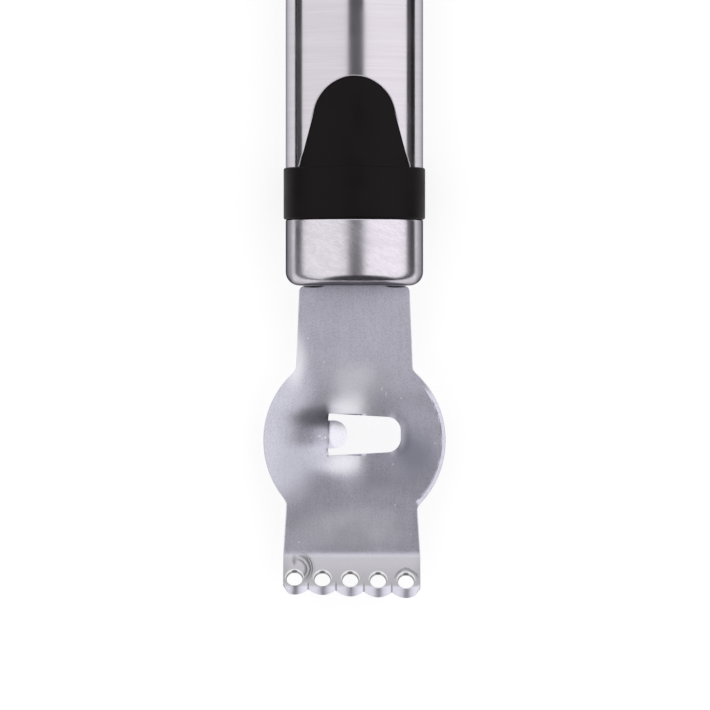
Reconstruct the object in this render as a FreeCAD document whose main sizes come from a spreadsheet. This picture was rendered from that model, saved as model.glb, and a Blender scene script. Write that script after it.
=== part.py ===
import FreeCAD, Part
import math
import os

# A citrus zester: a stamped sheet blade, held in an oval tube handle.
#
# X runs across the tool, Y along it towards the hanging end, Z up out of its front.
# It lies on its back, and the origin is under the middle of its length.
# Every piece is first made with Y = 0 at the ferrule's front face and Z = 0 in the
# middle of the handle's depth, and its Placement then carries it to where it lies.

Vector = FreeCAD.Vector

# Name, size in millimetres or degrees, and what it measures.
SIZES = (
    ("handle_width", 20.0, "oval of the tube, side to side"),
    ("handle_depth", 13.4, "oval of the tube, front to back"),
    ("tube_wall", 0.7, "wall of the tube and skirt of the ferrule"),
    ("tube_length", 113.6, "tube, from the collar to the end cap"),
    ("ferrule_length", 9.6, "ferrule, along the tool"),
    ("ferrule_front", 0.9, "wall across the ferrule's front"),
    ("ferrule_round", 2.0, "rounding of the ferrule's front edge"),
    ("slot_gap", 0.25, "room round the tang in the ferrule's slot"),
    ("collar_length", 7.5, "ring of the collar, along the tool"),
    ("collar_proud", 0.3, "how far the ring stands above the tube"),
    ("collar_round", 0.3, "rounding of the ring's two outer edges"),
    ("tongue_height", 12.84, "collar's tongue, from the ring to its tip"),
    ("tongue_radius", 5.72, "round tip of the tongue"),
    ("tongue_flare", 15.0, "lean of the tongue's sides"),
    ("tongue_proud", 0.15, "how far the tongue stands above the tube"),
    ("tongue_gap", 0.12, "room between the tongue and its window in the tube"),
    ("insert_length", 38.0, "moulded insert, along the tool"),
    ("fit_gap", 0.1, "room between pieces that fit in one another"),
    ("cap_length", 14.0, "end cap, the part that shows"),
    ("cap_spigot", 9.0, "end cap, the part inside the tube"),
    ("cap_round", 3.5, "rounding of the cap's end"),
    ("hang_radius", 3.0, "hanging hole"),
    ("hang_from_end", 8.0, "hanging hole's centre from the cap's end"),
    ("sheet", 0.9, "thickness of the blade's sheet"),
    ("tang_width", 9.6, "tang, side to side"),
    ("tang_length", 28.0, "tang, from the ferrule's front inwards"),
    ("tang_hole_radius", 2.0, "hole in the tang that the insert fills"),
    ("tang_hole_at", 20.0, "that hole's centre from the ferrule's front"),
    ("shoulder_gap", 0.06, "blade's shoulders from the ferrule's front"),
    ("shoulder_round", 0.8, "corners of the shoulders"),
    ("neck_top", 16.0, "neck's width at the shoulders"),
    ("neck_low", 17.0, "neck's width where it meets the round part"),
    ("disc_radius", 13.27, "round part of the blade"),
    ("disc_at", 22.55, "its centre, from the ferrule's front"),
    ("waist_round", 0.6, "inner corners where the round part meets the rest"),
    ("lower_top", 19.0, "lower part's width below the round part"),
    ("lower_end", 19.9, "lower part's width at the bend"),
    ("lower_shift", 0.38, "how far the lower part sits to the left"),
    ("bend_at", 39.07, "bend line of the head, from the ferrule's front"),
    ("bend_radius", 3.0, "bend's inner radius, on the front"),
    ("head_angle", 27.0, "how far the head is bent to the front"),
    ("row_at", 4.15, "row of holes from the bend line, along the head"),
    ("row_shift", 0.6, "how far the row sits to the left"),
    ("row_skew", 1.5, "row out of square, lower on the right"),
    ("hole_pitch", 4.04, "holes, centre to centre"),
    ("hole_radius", 1.15, "zest holes"),
    ("hole_chamfer", 0.18, "chamfer on the front rim of a zest hole"),
    ("hole_land", 0.04, "flat left between that rim and the ground end"),
    ("scallop_radius", 4.0, "round ground end below each hole"),
    ("grind_angle", 49.2, "how far the ground ends lean back, from a hole's axis"),
    ("corner_width", 0.9, "ground-off outer corner of the head, across"),
    ("corner_height", 1.35, "ground-off outer corner of the head, along it"),
    ("corner_below", 0.9, "where that corner starts below the row of holes"),
    ("dent_depth", 1.85, "depth of the pressed dent at its mouth"),
    ("dent_length", 17.0, "dent, from where its slope starts outside the rim to its mouth"),
    ("dent_above", 7.6, "dent's reach above its lowest line"),
    ("dent_below", 8.0, "dent's reach below its lowest line"),
    ("dent_exit", 5.0, "way from the mouth to where the dent has run out"),
    ("swell_height", 0.33, "how far the sheet swells up beside the opening"),
    ("dent_valley", 0.55, "dent's lowest line above the centre of the round part"),
    ("rim_drop", 1.35, "how far the round part's left rim is drawn down"),
    ("mouth_at", 3.72, "dent's mouth left of the centre of the round part"),
    ("opening_length", 10.47, "channel opening, from the mouth to its round end"),
    ("opening_width", 6.14, "channel opening at the mouth"),
    ("opening_end", 4.95, "channel opening near its round end"),
    ("opening_rise", 0.86, "opening's middle above the centre of the round part"),
    ("opening_round", 1.9, "corners of the opening's round end"),
    ("lip_length", 2.7, "cutting lip, from the mouth to its tip"),
    ("lip_width", 4.07, "cutting lip at its root"),
    ("lip_root", 0.15, "unground root of the lip"),
    ("lip_grind", 14.0, "how much the lip's ground face is steeper than its back"),
)

HOLE_COUNT = 5
# The zone of the blade's sheet that was pressed out of flat, from the centre of the round part.
PRESSED_HALF_WIDTH = 14.5
PRESSED_BELOW = 11.0
PRESSED_ABOVE = 17.5
# Distance between the points that the pressed surface runs through.
SURFACE_STEP = 0.6
# Power that shapes the dent's flanks.
DENT_CURVE = 4.0
# Softness of the turn at the dent's mouth, as a share of the way out.
EXIT_ROUND = 0.12
# The swell starts at the mouth, has its top and its end at these x, and fades outside a flat band.
SWELL_TOP_AT = 2.5
SWELL_END_AT = 13.0
SWELL_BAND = 3.5
SWELL_FADE = 8.0
# The left rim droops from here outwards. It fades above and below a flat middle band.
DROOP_FROM = 5.0
DROOP_MIDDLE = 3.5
DROOP_BAND = 7.0
DROOP_FADE = 7.0
# A rounded edge takes at most this share of the oval's tightest radius.
OVAL_SHARE = 0.9
# Longer than anything that it cuts.
REACH = 200.0


def make_sheet(doc):
    """Spreadsheet of the driving sizes, one named cell each."""
    sheet = doc.addObject("Spreadsheet::Sheet", "sizes")
    for row, (alias, value, note) in enumerate(SIZES, start=1):
        sheet.set("A%d" % row, alias.replace("_", " "))
        sheet.set("B%d" % row, str(value))
        sheet.set("C%d" % row, note)
        sheet.setAlias("B%d" % row, alias)
    doc.recompute()
    return sheet


class Size:
    """The sheet's values as plain numbers."""

    def __init__(self, sheet):
        for alias, _, _ in SIZES:
            setattr(self, alias, float(sheet.get(alias)))


def oval_bar(doc, name, half_x, half_z, start, length):
    """Bar of oval section along Y. Its sizes are expressions on the sheet."""
    oval = doc.addObject("Part::Ellipse", name + "_oval")
    oval.setExpression("MajorRadius", half_x)
    oval.setExpression("MinorRadius", half_z)
    oval.Placement = FreeCAD.Placement(Vector(0, 0, 0), FreeCAD.Rotation(Vector(1, 0, 0), -90))
    bar = doc.addObject("Part::Extrusion", name)
    bar.Base = oval
    bar.DirMode = "Custom"
    bar.Dir = Vector(0, 1, 0)
    bar.Solid = True
    bar.setExpression("LengthFwd", length)
    bar.setExpression("Placement.Base.y", start)
    return bar


def slot_box(doc, name, width, start, length, gap):
    """Box round the tang, wider and thicker than it by gap on each side."""
    box = doc.addObject("Part::Box", name)
    box.setExpression("Length", "%s + 2 * %s" % (width, gap))
    box.setExpression("Width", length)
    box.setExpression("Height", "sizes.sheet + 2 * %s" % gap)
    box.setExpression("Placement.Base.x", "-(%s) / 2 - %s" % (width, gap))
    box.setExpression("Placement.Base.y", start)
    box.setExpression("Placement.Base.z", "-sizes.sheet / 2 - %s" % gap)
    return box


def cut(doc, name, base, tools):
    """base with each tool taken out of it."""
    for number, tool in enumerate(tools, start=1):
        step = doc.addObject("Part::Cut", name if number == len(tools) else "%s_cut_%d" % (name, number))
        step.Base = base
        step.Tool = tool
        base = step
    return base


def fuse(doc, name, shapes):
    """The shapes as one solid."""
    whole = doc.addObject("Part::MultiFuse", name)
    whole.Shapes = shapes
    return whole


def round_ends(doc, name, base, radius, levels):
    """Fillet on the edges of base that lie flat across Y at one of the levels."""
    doc.recompute()
    fillet = doc.addObject("Part::Fillet", name)
    fillet.Base = base
    chosen = []
    for number, edge in enumerate(base.Shape.Edges, start=1):
        box = edge.BoundBox
        flat = box.YLength < 0.001
        if flat and any(abs(box.YMin - level) < 0.001 for level in levels):
            chosen.append((number, radius, radius))
    fillet.Edges = chosen
    return fillet


def edge_round(size, radius):
    """radius, or as much of it as the tightest bend of the handle's oval allows."""
    tightest = (size.handle_depth / 2) ** 2 / (size.handle_width / 2)
    return min(radius, OVAL_SHARE * tightest)


def tongue_prism(doc, name, size, gap):
    """Upright prism through the front: the collar's tongue, grown by gap all round."""
    foot = size.ferrule_length + size.collar_length / 2
    tip = size.ferrule_length + size.collar_length + size.tongue_height
    centre = tip - size.tongue_radius
    radius = size.tongue_radius + gap
    lean = math.radians(size.tongue_flare)
    side = Vector(radius * math.cos(lean), centre + radius * math.sin(lean), 0)
    base = Vector(side.x + (side.y - foot) * math.tan(lean), foot, 0)
    left_side = Vector(-side.x, side.y, 0)
    left_base = Vector(-base.x, base.y, 0)
    wire = Part.Wire([
        Part.makeLine(left_base, base),
        Part.makeLine(base, side),
        Part.Arc(side, Vector(0, centre + radius, 0), left_side).toShape(),
        Part.makeLine(left_side, left_base),
    ])
    prism = doc.addObject("Part::Feature", name)
    prism.Shape = Part.Face(wire).extrude(Vector(0, 0, size.handle_depth))
    return prism


def make_handle_tube(doc, size):
    """Drawn oval tube, open at both ends, with a window for the collar's tongue."""
    start = "sizes.ferrule_length + sizes.collar_length"
    outside = oval_bar(doc, "tube_outside", "sizes.handle_width / 2", "sizes.handle_depth / 2", start, "sizes.tube_length")
    bore = oval_bar(
        doc, "tube_bore", "sizes.handle_width / 2 - sizes.tube_wall", "sizes.handle_depth / 2 - sizes.tube_wall",
        start, "sizes.tube_length")
    window = tongue_prism(doc, "tube_window", size, size.tongue_gap)
    return cut(doc, "handle_tube", outside, [bore, window])


def make_ferrule(doc, size):
    """Drawn cup with a rounded front edge and a slot for the tang."""
    outside = oval_bar(
        doc, "ferrule_outside", "sizes.handle_width / 2", "sizes.handle_depth / 2", "0", "sizes.ferrule_length")
    front_round = edge_round(size, size.ferrule_round)
    rounded = round_ends(doc, "ferrule_rounded", outside, front_round, [0.0])
    hollow = oval_bar(
        doc, "ferrule_hollow", "sizes.handle_width / 2 - sizes.tube_wall", "sizes.handle_depth / 2 - sizes.tube_wall",
        "sizes.ferrule_front", "sizes.ferrule_length - sizes.ferrule_front")
    rounded_hollow = round_ends(
        doc, "ferrule_hollow_rounded", hollow, front_round - size.tube_wall, [size.ferrule_front])
    slot = slot_box(
        doc, "ferrule_slot", "sizes.tang_width", "-sizes.ferrule_front", "3 * sizes.ferrule_front", "sizes.slot_gap")
    return cut(doc, "ferrule", rounded, [rounded_hollow, slot])


def make_collar(doc, size):
    """Moulded ring with a tongue up the front of the handle."""
    ring = oval_bar(
        doc, "collar_ring", "sizes.handle_width / 2 + sizes.collar_proud", "sizes.handle_depth / 2 + sizes.collar_proud",
        "sizes.ferrule_length", "sizes.collar_length")
    top = size.ferrule_length + size.collar_length
    rounded = round_ends(doc, "collar_rounded", ring, size.collar_round, [size.ferrule_length, top])
    skin = oval_bar(
        doc, "tongue_skin", "sizes.handle_width / 2 + sizes.tongue_proud", "sizes.handle_depth / 2 + sizes.tongue_proud",
        "sizes.ferrule_length", "sizes.collar_length + sizes.tongue_height")
    tongue = doc.addObject("Part::Common", "collar_tongue")
    tongue.Base = skin
    tongue.Tool = tongue_prism(doc, "tongue_outline", size, 0.0)
    solid = fuse(doc, "collar_solid", [rounded, tongue])
    bore = oval_bar(
        doc, "collar_bore", "sizes.handle_width / 2 - sizes.tube_wall", "sizes.handle_depth / 2 - sizes.tube_wall",
        "sizes.ferrule_length", "sizes.collar_length + sizes.tongue_height")
    return cut(doc, "collar", solid, [bore])


def make_tang_insert(doc, size):
    """Moulded core in the ferrule, collar and tube. It grips the tang."""
    core = oval_bar(
        doc, "insert_core", "sizes.handle_width / 2 - sizes.tube_wall - sizes.fit_gap",
        "sizes.handle_depth / 2 - sizes.tube_wall - sizes.fit_gap",
        "sizes.ferrule_front + sizes.fit_gap", "sizes.insert_length")
    front = size.ferrule_front + size.fit_gap
    front_round = edge_round(size, size.ferrule_round) - size.tube_wall
    rounded = round_ends(doc, "insert_rounded", core, front_round, [front])
    slot = slot_box(doc, "insert_slot", "sizes.tang_width", "0", "sizes.tang_length + sizes.fit_gap", "sizes.fit_gap")
    split = cut(doc, "insert_split", rounded, [slot])
    peg = doc.addObject("Part::Cylinder", "insert_peg")
    peg.setExpression("Radius", "sizes.tang_hole_radius - sizes.fit_gap")
    peg.setExpression("Height", "2 * sizes.sheet")
    peg.setExpression("Placement.Base.y", "sizes.tang_hole_at")
    peg.setExpression("Placement.Base.z", "-sizes.sheet")
    return fuse(doc, "tang_insert", [split, peg])


def make_end_cap(doc, size):
    """Cast plug that closes the tube, with a hanging hole from front to back."""
    start = "sizes.ferrule_length + sizes.collar_length + sizes.tube_length"
    outside = oval_bar(doc, "cap_outside", "sizes.handle_width / 2", "sizes.handle_depth / 2", start, "sizes.cap_length")
    end = size.ferrule_length + size.collar_length + size.tube_length + size.cap_length
    rounded = round_ends(doc, "cap_rounded", outside, edge_round(size, size.cap_round), [end])
    spigot = oval_bar(
        doc, "cap_spigot_bar", "sizes.handle_width / 2 - sizes.tube_wall - sizes.fit_gap",
        "sizes.handle_depth / 2 - sizes.tube_wall - sizes.fit_gap",
        start + " - sizes.cap_spigot", "sizes.cap_spigot + sizes.cap_length / 4")
    solid = fuse(doc, "cap_solid", [rounded, spigot])
    hole = doc.addObject("Part::Cylinder", "hanging_hole")
    hole.setExpression("Radius", "sizes.hang_radius")
    hole.setExpression("Height", "2 * sizes.handle_depth")
    hole.setExpression("Placement.Base.y", start + " + sizes.cap_length - sizes.hang_from_end")
    hole.setExpression("Placement.Base.z", "-sizes.handle_depth")
    return cut(doc, "end_cap", solid, [hole])


def ease(start, end, value):
    """0 before start, 1 after end, and smooth between."""
    part = min(1.0, max(0.0, (value - start) / (end - start)))
    return part * part * (3.0 - 2.0 * part)


def swell(part):
    """1 at 0, falling smoothly to 0 at 1 and beyond."""
    return math.cos(0.5 * math.pi * part) ** 2 if abs(part) < 1.0 else 0.0


def dent_at(size, x, y):
    """Depth of the dent, with x and y from the centre of the round part."""
    fall = size.dent_depth * max(0.0, 1.0 + (x + size.mouth_at) / size.dent_length)
    from_valley = y - size.dent_valley
    reach = size.dent_above if from_valley > 0.0 else size.dent_below
    return fall * max(0.0, 1.0 - (from_valley / reach) ** 2) ** DENT_CURVE


def swollen(size, x, y):
    """How much of the swell beside the opening there is: 1 at its top."""
    along = ease(-size.mouth_at, SWELL_TOP_AT, x) * (1.0 - ease(SWELL_TOP_AT, SWELL_END_AT, x))
    return along * swell(max(0.0, abs(y - size.opening_rise) - SWELL_BAND) / SWELL_FADE)


def sheet_height(size, x, y):
    """Height of the pressed sheet's middle, with x and y from the centre of the round part."""
    mouth = -size.mouth_at
    way_out = max(0.0, (x - mouth) / size.dent_exit + EXIT_ROUND)
    way_out = min(1.0, math.hypot(way_out, EXIT_ROUND) - EXIT_ROUND)
    flat_again = way_out * (2.0 - way_out)
    off_lip = ease(size.lip_width / 2, size.opening_width / 2, abs(y - size.opening_rise))
    lip_tip = mouth + size.lip_length
    past_lip = ease(lip_tip, lip_tip + size.lip_length, x)
    free = max(off_lip, past_lip)
    height = size.swell_height * free * swollen(size, x, y)
    height -= dent_at(size, x, y) * (1.0 - flat_again * free)
    droop = max(0.0, (-x - DROOP_FROM) / (size.disc_radius - DROOP_FROM))
    across = swell(max(0.0, abs(y - DROOP_MIDDLE) - DROOP_BAND) / DROOP_FADE)
    return height - size.rim_drop * droop ** 2 * across


def pressed_surface(size, lift):
    """Smooth surface of the pressed zone, lift above the sheet's middle."""
    columns = round(2 * PRESSED_HALF_WIDTH / SURFACE_STEP)
    rows = round((PRESSED_BELOW + PRESSED_ABOVE) / SURFACE_STEP)
    points = []
    for column in range(columns + 1):
        x = -PRESSED_HALF_WIDTH + 2 * PRESSED_HALF_WIDTH * column / columns
        line = []
        for row in range(rows + 1):
            y = -PRESSED_BELOW + (PRESSED_BELOW + PRESSED_ABOVE) * row / rows
            line.append(Vector(x, y - size.disc_at, sheet_height(size, x, y) + lift))
        points.append(line)
    surface = Part.BSplineSurface()
    surface.interpolate(points)
    return surface


def flat_strip(size):
    """Flat sheet with the head bent up at its end, wider than the blade."""
    half = size.sheet / 2
    turn = math.radians(size.head_angle)
    middle_radius = size.bend_radius + half
    bend_start = middle_radius * math.tan(turn / 2) - size.bend_at
    head_length = 2 * (size.row_at + size.hole_pitch)
    along_head = Vector(0, -math.cos(turn), math.sin(turn))

    def on_bend(radius, angle):
        return Vector(-REACH / 2, bend_start - radius * math.sin(angle), middle_radius - radius * math.cos(angle))

    def arc(radius, first, last):
        return Part.Arc(on_bend(radius, first), on_bend(radius, (first + last) / 2), on_bend(radius, last)).toShape()

    inner = size.bend_radius
    outer = size.bend_radius + size.sheet
    tail_back = Vector(-REACH / 2, size.tang_length + 1, -half)
    tail_front = Vector(-REACH / 2, size.tang_length + 1, half)
    tip_back = on_bend(outer, turn) + along_head * head_length
    tip_front = on_bend(inner, turn) + along_head * head_length
    wire = Part.Wire([
        Part.makeLine(tail_back, on_bend(outer, 0)),
        arc(outer, 0, turn),
        Part.makeLine(on_bend(outer, turn), tip_back),
        Part.makeLine(tip_back, tip_front),
        Part.makeLine(tip_front, on_bend(inner, turn)),
        arc(inner, turn, 0),
        Part.makeLine(on_bend(inner, 0), tail_front),
        Part.makeLine(tail_front, tail_back),
    ])
    return Part.Face(wire).extrude(Vector(REACH, 0, 0))


def pressed_strip(size):
    """The strip with its middle zone swapped for the pressed surface."""
    zone = Part.makeBox(
        2 * REACH, PRESSED_BELOW + PRESSED_ABOVE, REACH, Vector(-REACH, -size.disc_at - PRESSED_BELOW, -REACH / 2))
    pressed = Part.Face(pressed_surface(size, -size.sheet / 2)).extrude(Vector(0, 0, size.sheet))
    return flat_strip(size).cut(zone).fuse(pressed)


def upright_prism(corners):
    """Tall prism over a list of x, y corners."""
    points = [Vector(x, y, -REACH / 2) for x, y in corners]
    return Part.Face(Part.makePolygon(points + points[:1])).extrude(Vector(0, 0, REACH))


def round_upright_edges(prism, radius, inside):
    """Fillet on the upright edges of a prism whose x and y pass the test."""
    chosen = []
    for edge in prism.Edges:
        box = edge.BoundBox
        upright = box.XLength < 0.001 and box.YLength < 0.001
        if upright and inside(box.XMin, box.YMin):
            chosen.append(edge)
    return prism.makeFillet(radius, chosen)


def blade_outline(size):
    """Prism of the blade's outline, seen from the front."""
    neck_end = -size.disc_at + math.sqrt(size.disc_radius ** 2 - (size.neck_low / 2) ** 2)
    lower_start = -size.disc_at - math.sqrt(size.disc_radius ** 2 - (size.lower_top / 2) ** 2)
    centre = -size.disc_at
    tang = upright_prism([
        (-size.tang_width / 2, size.tang_length),
        (size.tang_width / 2, size.tang_length),
        (size.tang_width / 2, -2 * size.shoulder_gap),
        (-size.tang_width / 2, -2 * size.shoulder_gap),
    ])
    neck = upright_prism([
        (-size.neck_top / 2, -size.shoulder_gap),
        (size.neck_top / 2, -size.shoulder_gap),
        (size.neck_low / 2, neck_end),
        (size.neck_low / 2, centre),
        (-size.neck_low / 2, centre),
        (-size.neck_low / 2, neck_end),
    ])
    shoulders = round_upright_edges(neck, size.shoulder_round, lambda x, y: y > -size.shoulder_gap - 0.001)
    disc = Part.makeCylinder(size.disc_radius, REACH, Vector(0, centre, -REACH / 2))
    left = -size.lower_shift
    end = 2 * size.bend_at
    lower = upright_prism([
        (left - size.lower_top / 2, centre),
        (left + size.lower_top / 2, centre),
        (left + size.lower_top / 2, lower_start),
        (left + size.lower_end / 2, -size.bend_at),
        (left + size.lower_end / 2, -end),
        (left - size.lower_end / 2, -end),
        (left - size.lower_end / 2, -size.bend_at),
        (left - size.lower_top / 2, lower_start),
    ])
    whole = shoulders.multiFuse([tang, disc, lower]).removeSplitter()
    return round_upright_edges(
        whole, size.waist_round,
        lambda x, y: min(abs(y - neck_end), abs(y - lower_start)) < size.lower_shift + size.waist_round)


def channel_opening(size):
    """Prism of the opening beside the dent's mouth, without the lip that stands in it."""
    middle = size.opening_rise - size.disc_at
    mouth = -size.mouth_at
    end = mouth + size.opening_length
    opening = upright_prism([
        (mouth, middle - size.opening_width / 2),
        (end, middle - size.opening_end / 2),
        (end, middle + size.opening_end / 2),
        (mouth, middle + size.opening_width / 2),
    ])
    rounded = round_upright_edges(opening, size.opening_round, lambda x, y: x > 0)
    half = size.lip_width / 2
    straight = size.lip_length - half
    lip = Part.makeBox(1.0 + straight, size.lip_width, REACH, Vector(mouth - 1.0, middle - half, -REACH / 2))
    nose = Part.makeCylinder(half, REACH, Vector(mouth + straight, middle, -REACH / 2))
    return rounded.cut(lip.fuse(nose))


def lip_grinding(size):
    """What grinding takes off the lip's front face, from its root to a thin edge."""
    mouth = -size.mouth_at
    steepness = math.tan(math.radians(size.lip_grind))
    half_sheet = size.sheet / 2
    margin = 0.5
    start = mouth - margin
    stop = mouth + size.lip_length + margin
    low = size.opening_rise - size.opening_width / 2
    high = size.opening_rise + size.opening_width / 2
    points = []
    columns = 8
    rows = 12
    for column in range(columns + 1):
        x = start + (stop - start) * column / columns
        line = []
        for row in range(rows + 1):
            y = low + (high - low) * row / rows
            height = half_sheet - dent_at(size, x, y) - (x - mouth - size.lip_root) * steepness
            line.append(Vector(x, y - size.disc_at, height))
        points.append(line)
    surface = Part.BSplineSurface()
    surface.interpolate(points)
    return Part.Face(surface).extrude(Vector(0, 0, size.handle_depth))


def head_place(size):
    """Placement of the head: X across, Y back up the head from its row of holes, Z out of its front."""
    bend_line = FreeCAD.Placement(
        Vector(-size.row_shift, -size.bend_at, 0), FreeCAD.Rotation(Vector(1, 0, 0), -size.head_angle))
    row = FreeCAD.Placement(Vector(0, -size.row_at, 0), FreeCAD.Rotation(Vector(0, 0, 1), -size.row_skew))
    return bend_line.multiply(row)


def row_of_holes(size):
    """X of each zest hole along the row."""
    first = -size.hole_pitch * (HOLE_COUNT - 1) / 2
    return [first + size.hole_pitch * number for number in range(HOLE_COUNT)]


def ground_end(size):
    """All of the blade that grinding leaves: above the row, and a leaning round bar at each hole."""
    lean = math.radians(size.grind_angle)
    land = size.hole_radius + size.hole_chamfer + size.hole_land
    along = Vector(0, math.sin(lean), math.cos(lean))
    length = 4 * size.scallop_radius
    bars = []
    for x in row_of_holes(size):
        in_front_face = Vector(x, size.scallop_radius / math.cos(lean) - land, size.sheet / 2)
        bars.append(Part.makeCylinder(size.scallop_radius, length, in_front_face - along * (length / 2), along))
    above = Part.makeBox(2 * REACH, REACH, 2 * REACH, Vector(-REACH, 0, -REACH))
    kept = above.multiFuse(bars)
    kept.Placement = head_place(size)
    return kept


def outer_corners(size):
    """What is ground off the two outer corners of the head."""
    middle = size.row_shift - size.lower_shift
    start = -size.corner_below
    stop = start - size.corner_height
    far_below = stop - size.corner_height
    prisms = []
    for side in (-1, 1):
        edge = middle + side * size.lower_end / 2
        beyond = edge + side * size.corner_width
        inner = edge - side * size.corner_width
        prism = upright_prism([(edge, start), (inner, stop), (inner, far_below), (beyond, far_below), (beyond, start)])
        prism.Placement = head_place(size)
        prisms.append(prism)
    return prisms


def zest_hole_tools(size):
    """A drill for each zest hole, with a cone that chamfers its front rim."""
    place = head_place(size)
    tools = []
    for x in row_of_holes(size):
        drill = Part.makeCylinder(size.hole_radius, 3 * size.sheet, Vector(x, 0, -1.5 * size.sheet))
        wide = size.hole_radius + 2 * size.hole_chamfer
        sink = Part.makeCone(
            size.hole_radius, wide, 2 * size.hole_chamfer, Vector(x, 0, size.sheet / 2 - size.hole_chamfer))
        tool = drill.fuse(sink)
        tool.Placement = place
        tools.append(tool)
    return tools


def make_blade(doc, size):
    """One stamped, pressed, bent and ground sheet, from the tang to the zest holes."""
    sheet = pressed_strip(size).common(blade_outline(size))
    sheet = sheet.common(ground_end(size))
    tang_hole = Part.makeCylinder(
        size.tang_hole_radius, 3 * size.sheet, Vector(0, size.tang_hole_at, -1.5 * size.sheet))
    tools = [channel_opening(size), tang_hole] + zest_hole_tools(size) + outer_corners(size)
    sheet = sheet.cut(tools).cut(lip_grinding(size))
    blade = doc.addObject("Part::Feature", "blade")
    blade.Shape = sheet.Solids[0] if len(sheet.Solids) == 1 else sheet
    return blade


def lay_down(pieces, size, reach):
    """Put each piece where it lies: on its back, with the origin under the middle of the length."""
    grip = size.ferrule_length + size.collar_length + size.tube_length + size.cap_length
    middle = (grip - reach) / 2
    lift = size.handle_depth / 2 + size.collar_proud
    for piece in pieces:
        piece.Placement = FreeCAD.Placement(Vector(0, -middle, lift), FreeCAD.Rotation())


def check(doc, pieces):
    """Stop if an object failed or a piece isn't one valid solid."""
    for item in doc.Objects:
        if "Invalid" in item.State or "Error" in item.State:
            raise RuntimeError("%s failed: %s" % (item.Name, item.State))
    for piece in pieces:
        shape = piece.Shape
        if shape.isNull() or not shape.isValid() or len(shape.Solids) != 1:
            raise RuntimeError("%s isn't one valid solid" % piece.Name)


def main():
    doc = FreeCAD.newDocument("citrus_zester")
    size = Size(make_sheet(doc))
    blade = make_blade(doc, size)
    reach = -blade.Shape.optimalBoundingBox().YMin
    pieces = [
        blade,
        make_ferrule(doc, size),
        make_collar(doc, size),
        make_tang_insert(doc, size),
        make_handle_tube(doc, size),
        make_end_cap(doc, size),
    ]
    doc.recompute()
    lay_down(pieces, size, reach)
    doc.recompute()
    check(doc, pieces)
    os.makedirs("parts", exist_ok=True)
    for piece in pieces:
        piece.Label = piece.Name
        piece.Shape.exportStep("parts/%s.step" % piece.Label)
        box = piece.Shape.BoundBox
        print("%-12s volume %9.2f  x %.2f %.2f  y %.2f %.2f  z %.2f %.2f" % (
            piece.Label, piece.Shape.Volume, box.XMin, box.XMax, box.YMin, box.YMax, box.ZMin, box.ZMax))


main()
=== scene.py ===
# %% [markdown]
# A citrus zester, built piece by piece. At the end its box is printed beside that of the solid model.

# %% Load the solid model
import math
import random

import bmesh
import bpy
from mathutils import Matrix, Vector


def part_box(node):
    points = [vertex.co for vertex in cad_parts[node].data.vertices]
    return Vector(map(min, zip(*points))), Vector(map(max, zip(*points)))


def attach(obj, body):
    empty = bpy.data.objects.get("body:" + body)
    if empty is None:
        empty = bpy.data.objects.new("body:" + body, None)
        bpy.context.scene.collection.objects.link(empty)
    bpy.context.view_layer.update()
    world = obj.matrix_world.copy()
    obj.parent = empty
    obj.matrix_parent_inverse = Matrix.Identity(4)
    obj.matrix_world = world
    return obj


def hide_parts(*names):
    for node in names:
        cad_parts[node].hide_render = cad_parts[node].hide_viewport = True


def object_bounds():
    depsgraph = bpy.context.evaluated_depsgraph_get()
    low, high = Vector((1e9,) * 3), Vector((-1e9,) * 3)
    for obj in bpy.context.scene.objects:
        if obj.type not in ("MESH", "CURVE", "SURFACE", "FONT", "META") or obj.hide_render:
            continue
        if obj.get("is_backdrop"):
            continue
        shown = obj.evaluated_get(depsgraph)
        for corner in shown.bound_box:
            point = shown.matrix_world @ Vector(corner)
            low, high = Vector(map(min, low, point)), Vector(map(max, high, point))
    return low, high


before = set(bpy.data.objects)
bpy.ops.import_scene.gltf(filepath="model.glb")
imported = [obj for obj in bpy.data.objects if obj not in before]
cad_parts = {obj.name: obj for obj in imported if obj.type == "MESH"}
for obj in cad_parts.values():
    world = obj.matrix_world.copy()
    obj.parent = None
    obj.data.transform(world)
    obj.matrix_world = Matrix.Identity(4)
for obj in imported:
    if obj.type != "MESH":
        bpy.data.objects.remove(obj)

solid_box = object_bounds()
print("nodes:", ", ".join(sorted(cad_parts)))

# %% [markdown]
# Small parts are easiest to think of in millimetres, measured from one place that matters.
# Here that place is the middle of the ferrule's front face: Y runs up the handle and Z points out of
# the front. Each mesh is built like that and then laid down once, by a matrix that scales it to
# metres and moves it to where the solid model has its ferrule.

# %% From millimetres at the ferrule to metres on the table
ferrule_low, ferrule_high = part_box("ferrule")
FERRULE_FRONT = Vector((0.0, ferrule_low.y, (ferrule_low.z + ferrule_high.z) / 2))
LAY_DOWN = Matrix.Translation(FERRULE_FRONT) @ Matrix.Scale(0.001, 4)
print("ferrule front at y %.4f m, blade %.4f m above the table" % (FERRULE_FRONT.y, FERRULE_FRONT.z))

# %% [markdown]
# Some steps come back for every piece: turning a bmesh into an object, cutting one piece with
# another, and finishing the mesh. A Boolean modifier does the cutting. Its result is read back as a
# plain mesh straight away, so that no modifier and no cutting tool stays in the scene.
# Smooth shading is right for drawn and pressed steel, but not over a cut edge, so edges that are
# sharper than a given angle are marked sharp.

# %% Helpers for pieces, cuts and finishing
SHARP_ANGLE = math.radians(32.0)
MERGE_WITHIN = 0.002


def as_object(bm, name):
    """Object that holds the mesh of a bmesh."""
    mesh = bpy.data.meshes.new(name)
    bm.to_mesh(mesh)
    bm.free()
    piece = bpy.data.objects.new(name, mesh)
    bpy.context.scene.collection.objects.link(piece)
    return piece


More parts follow.
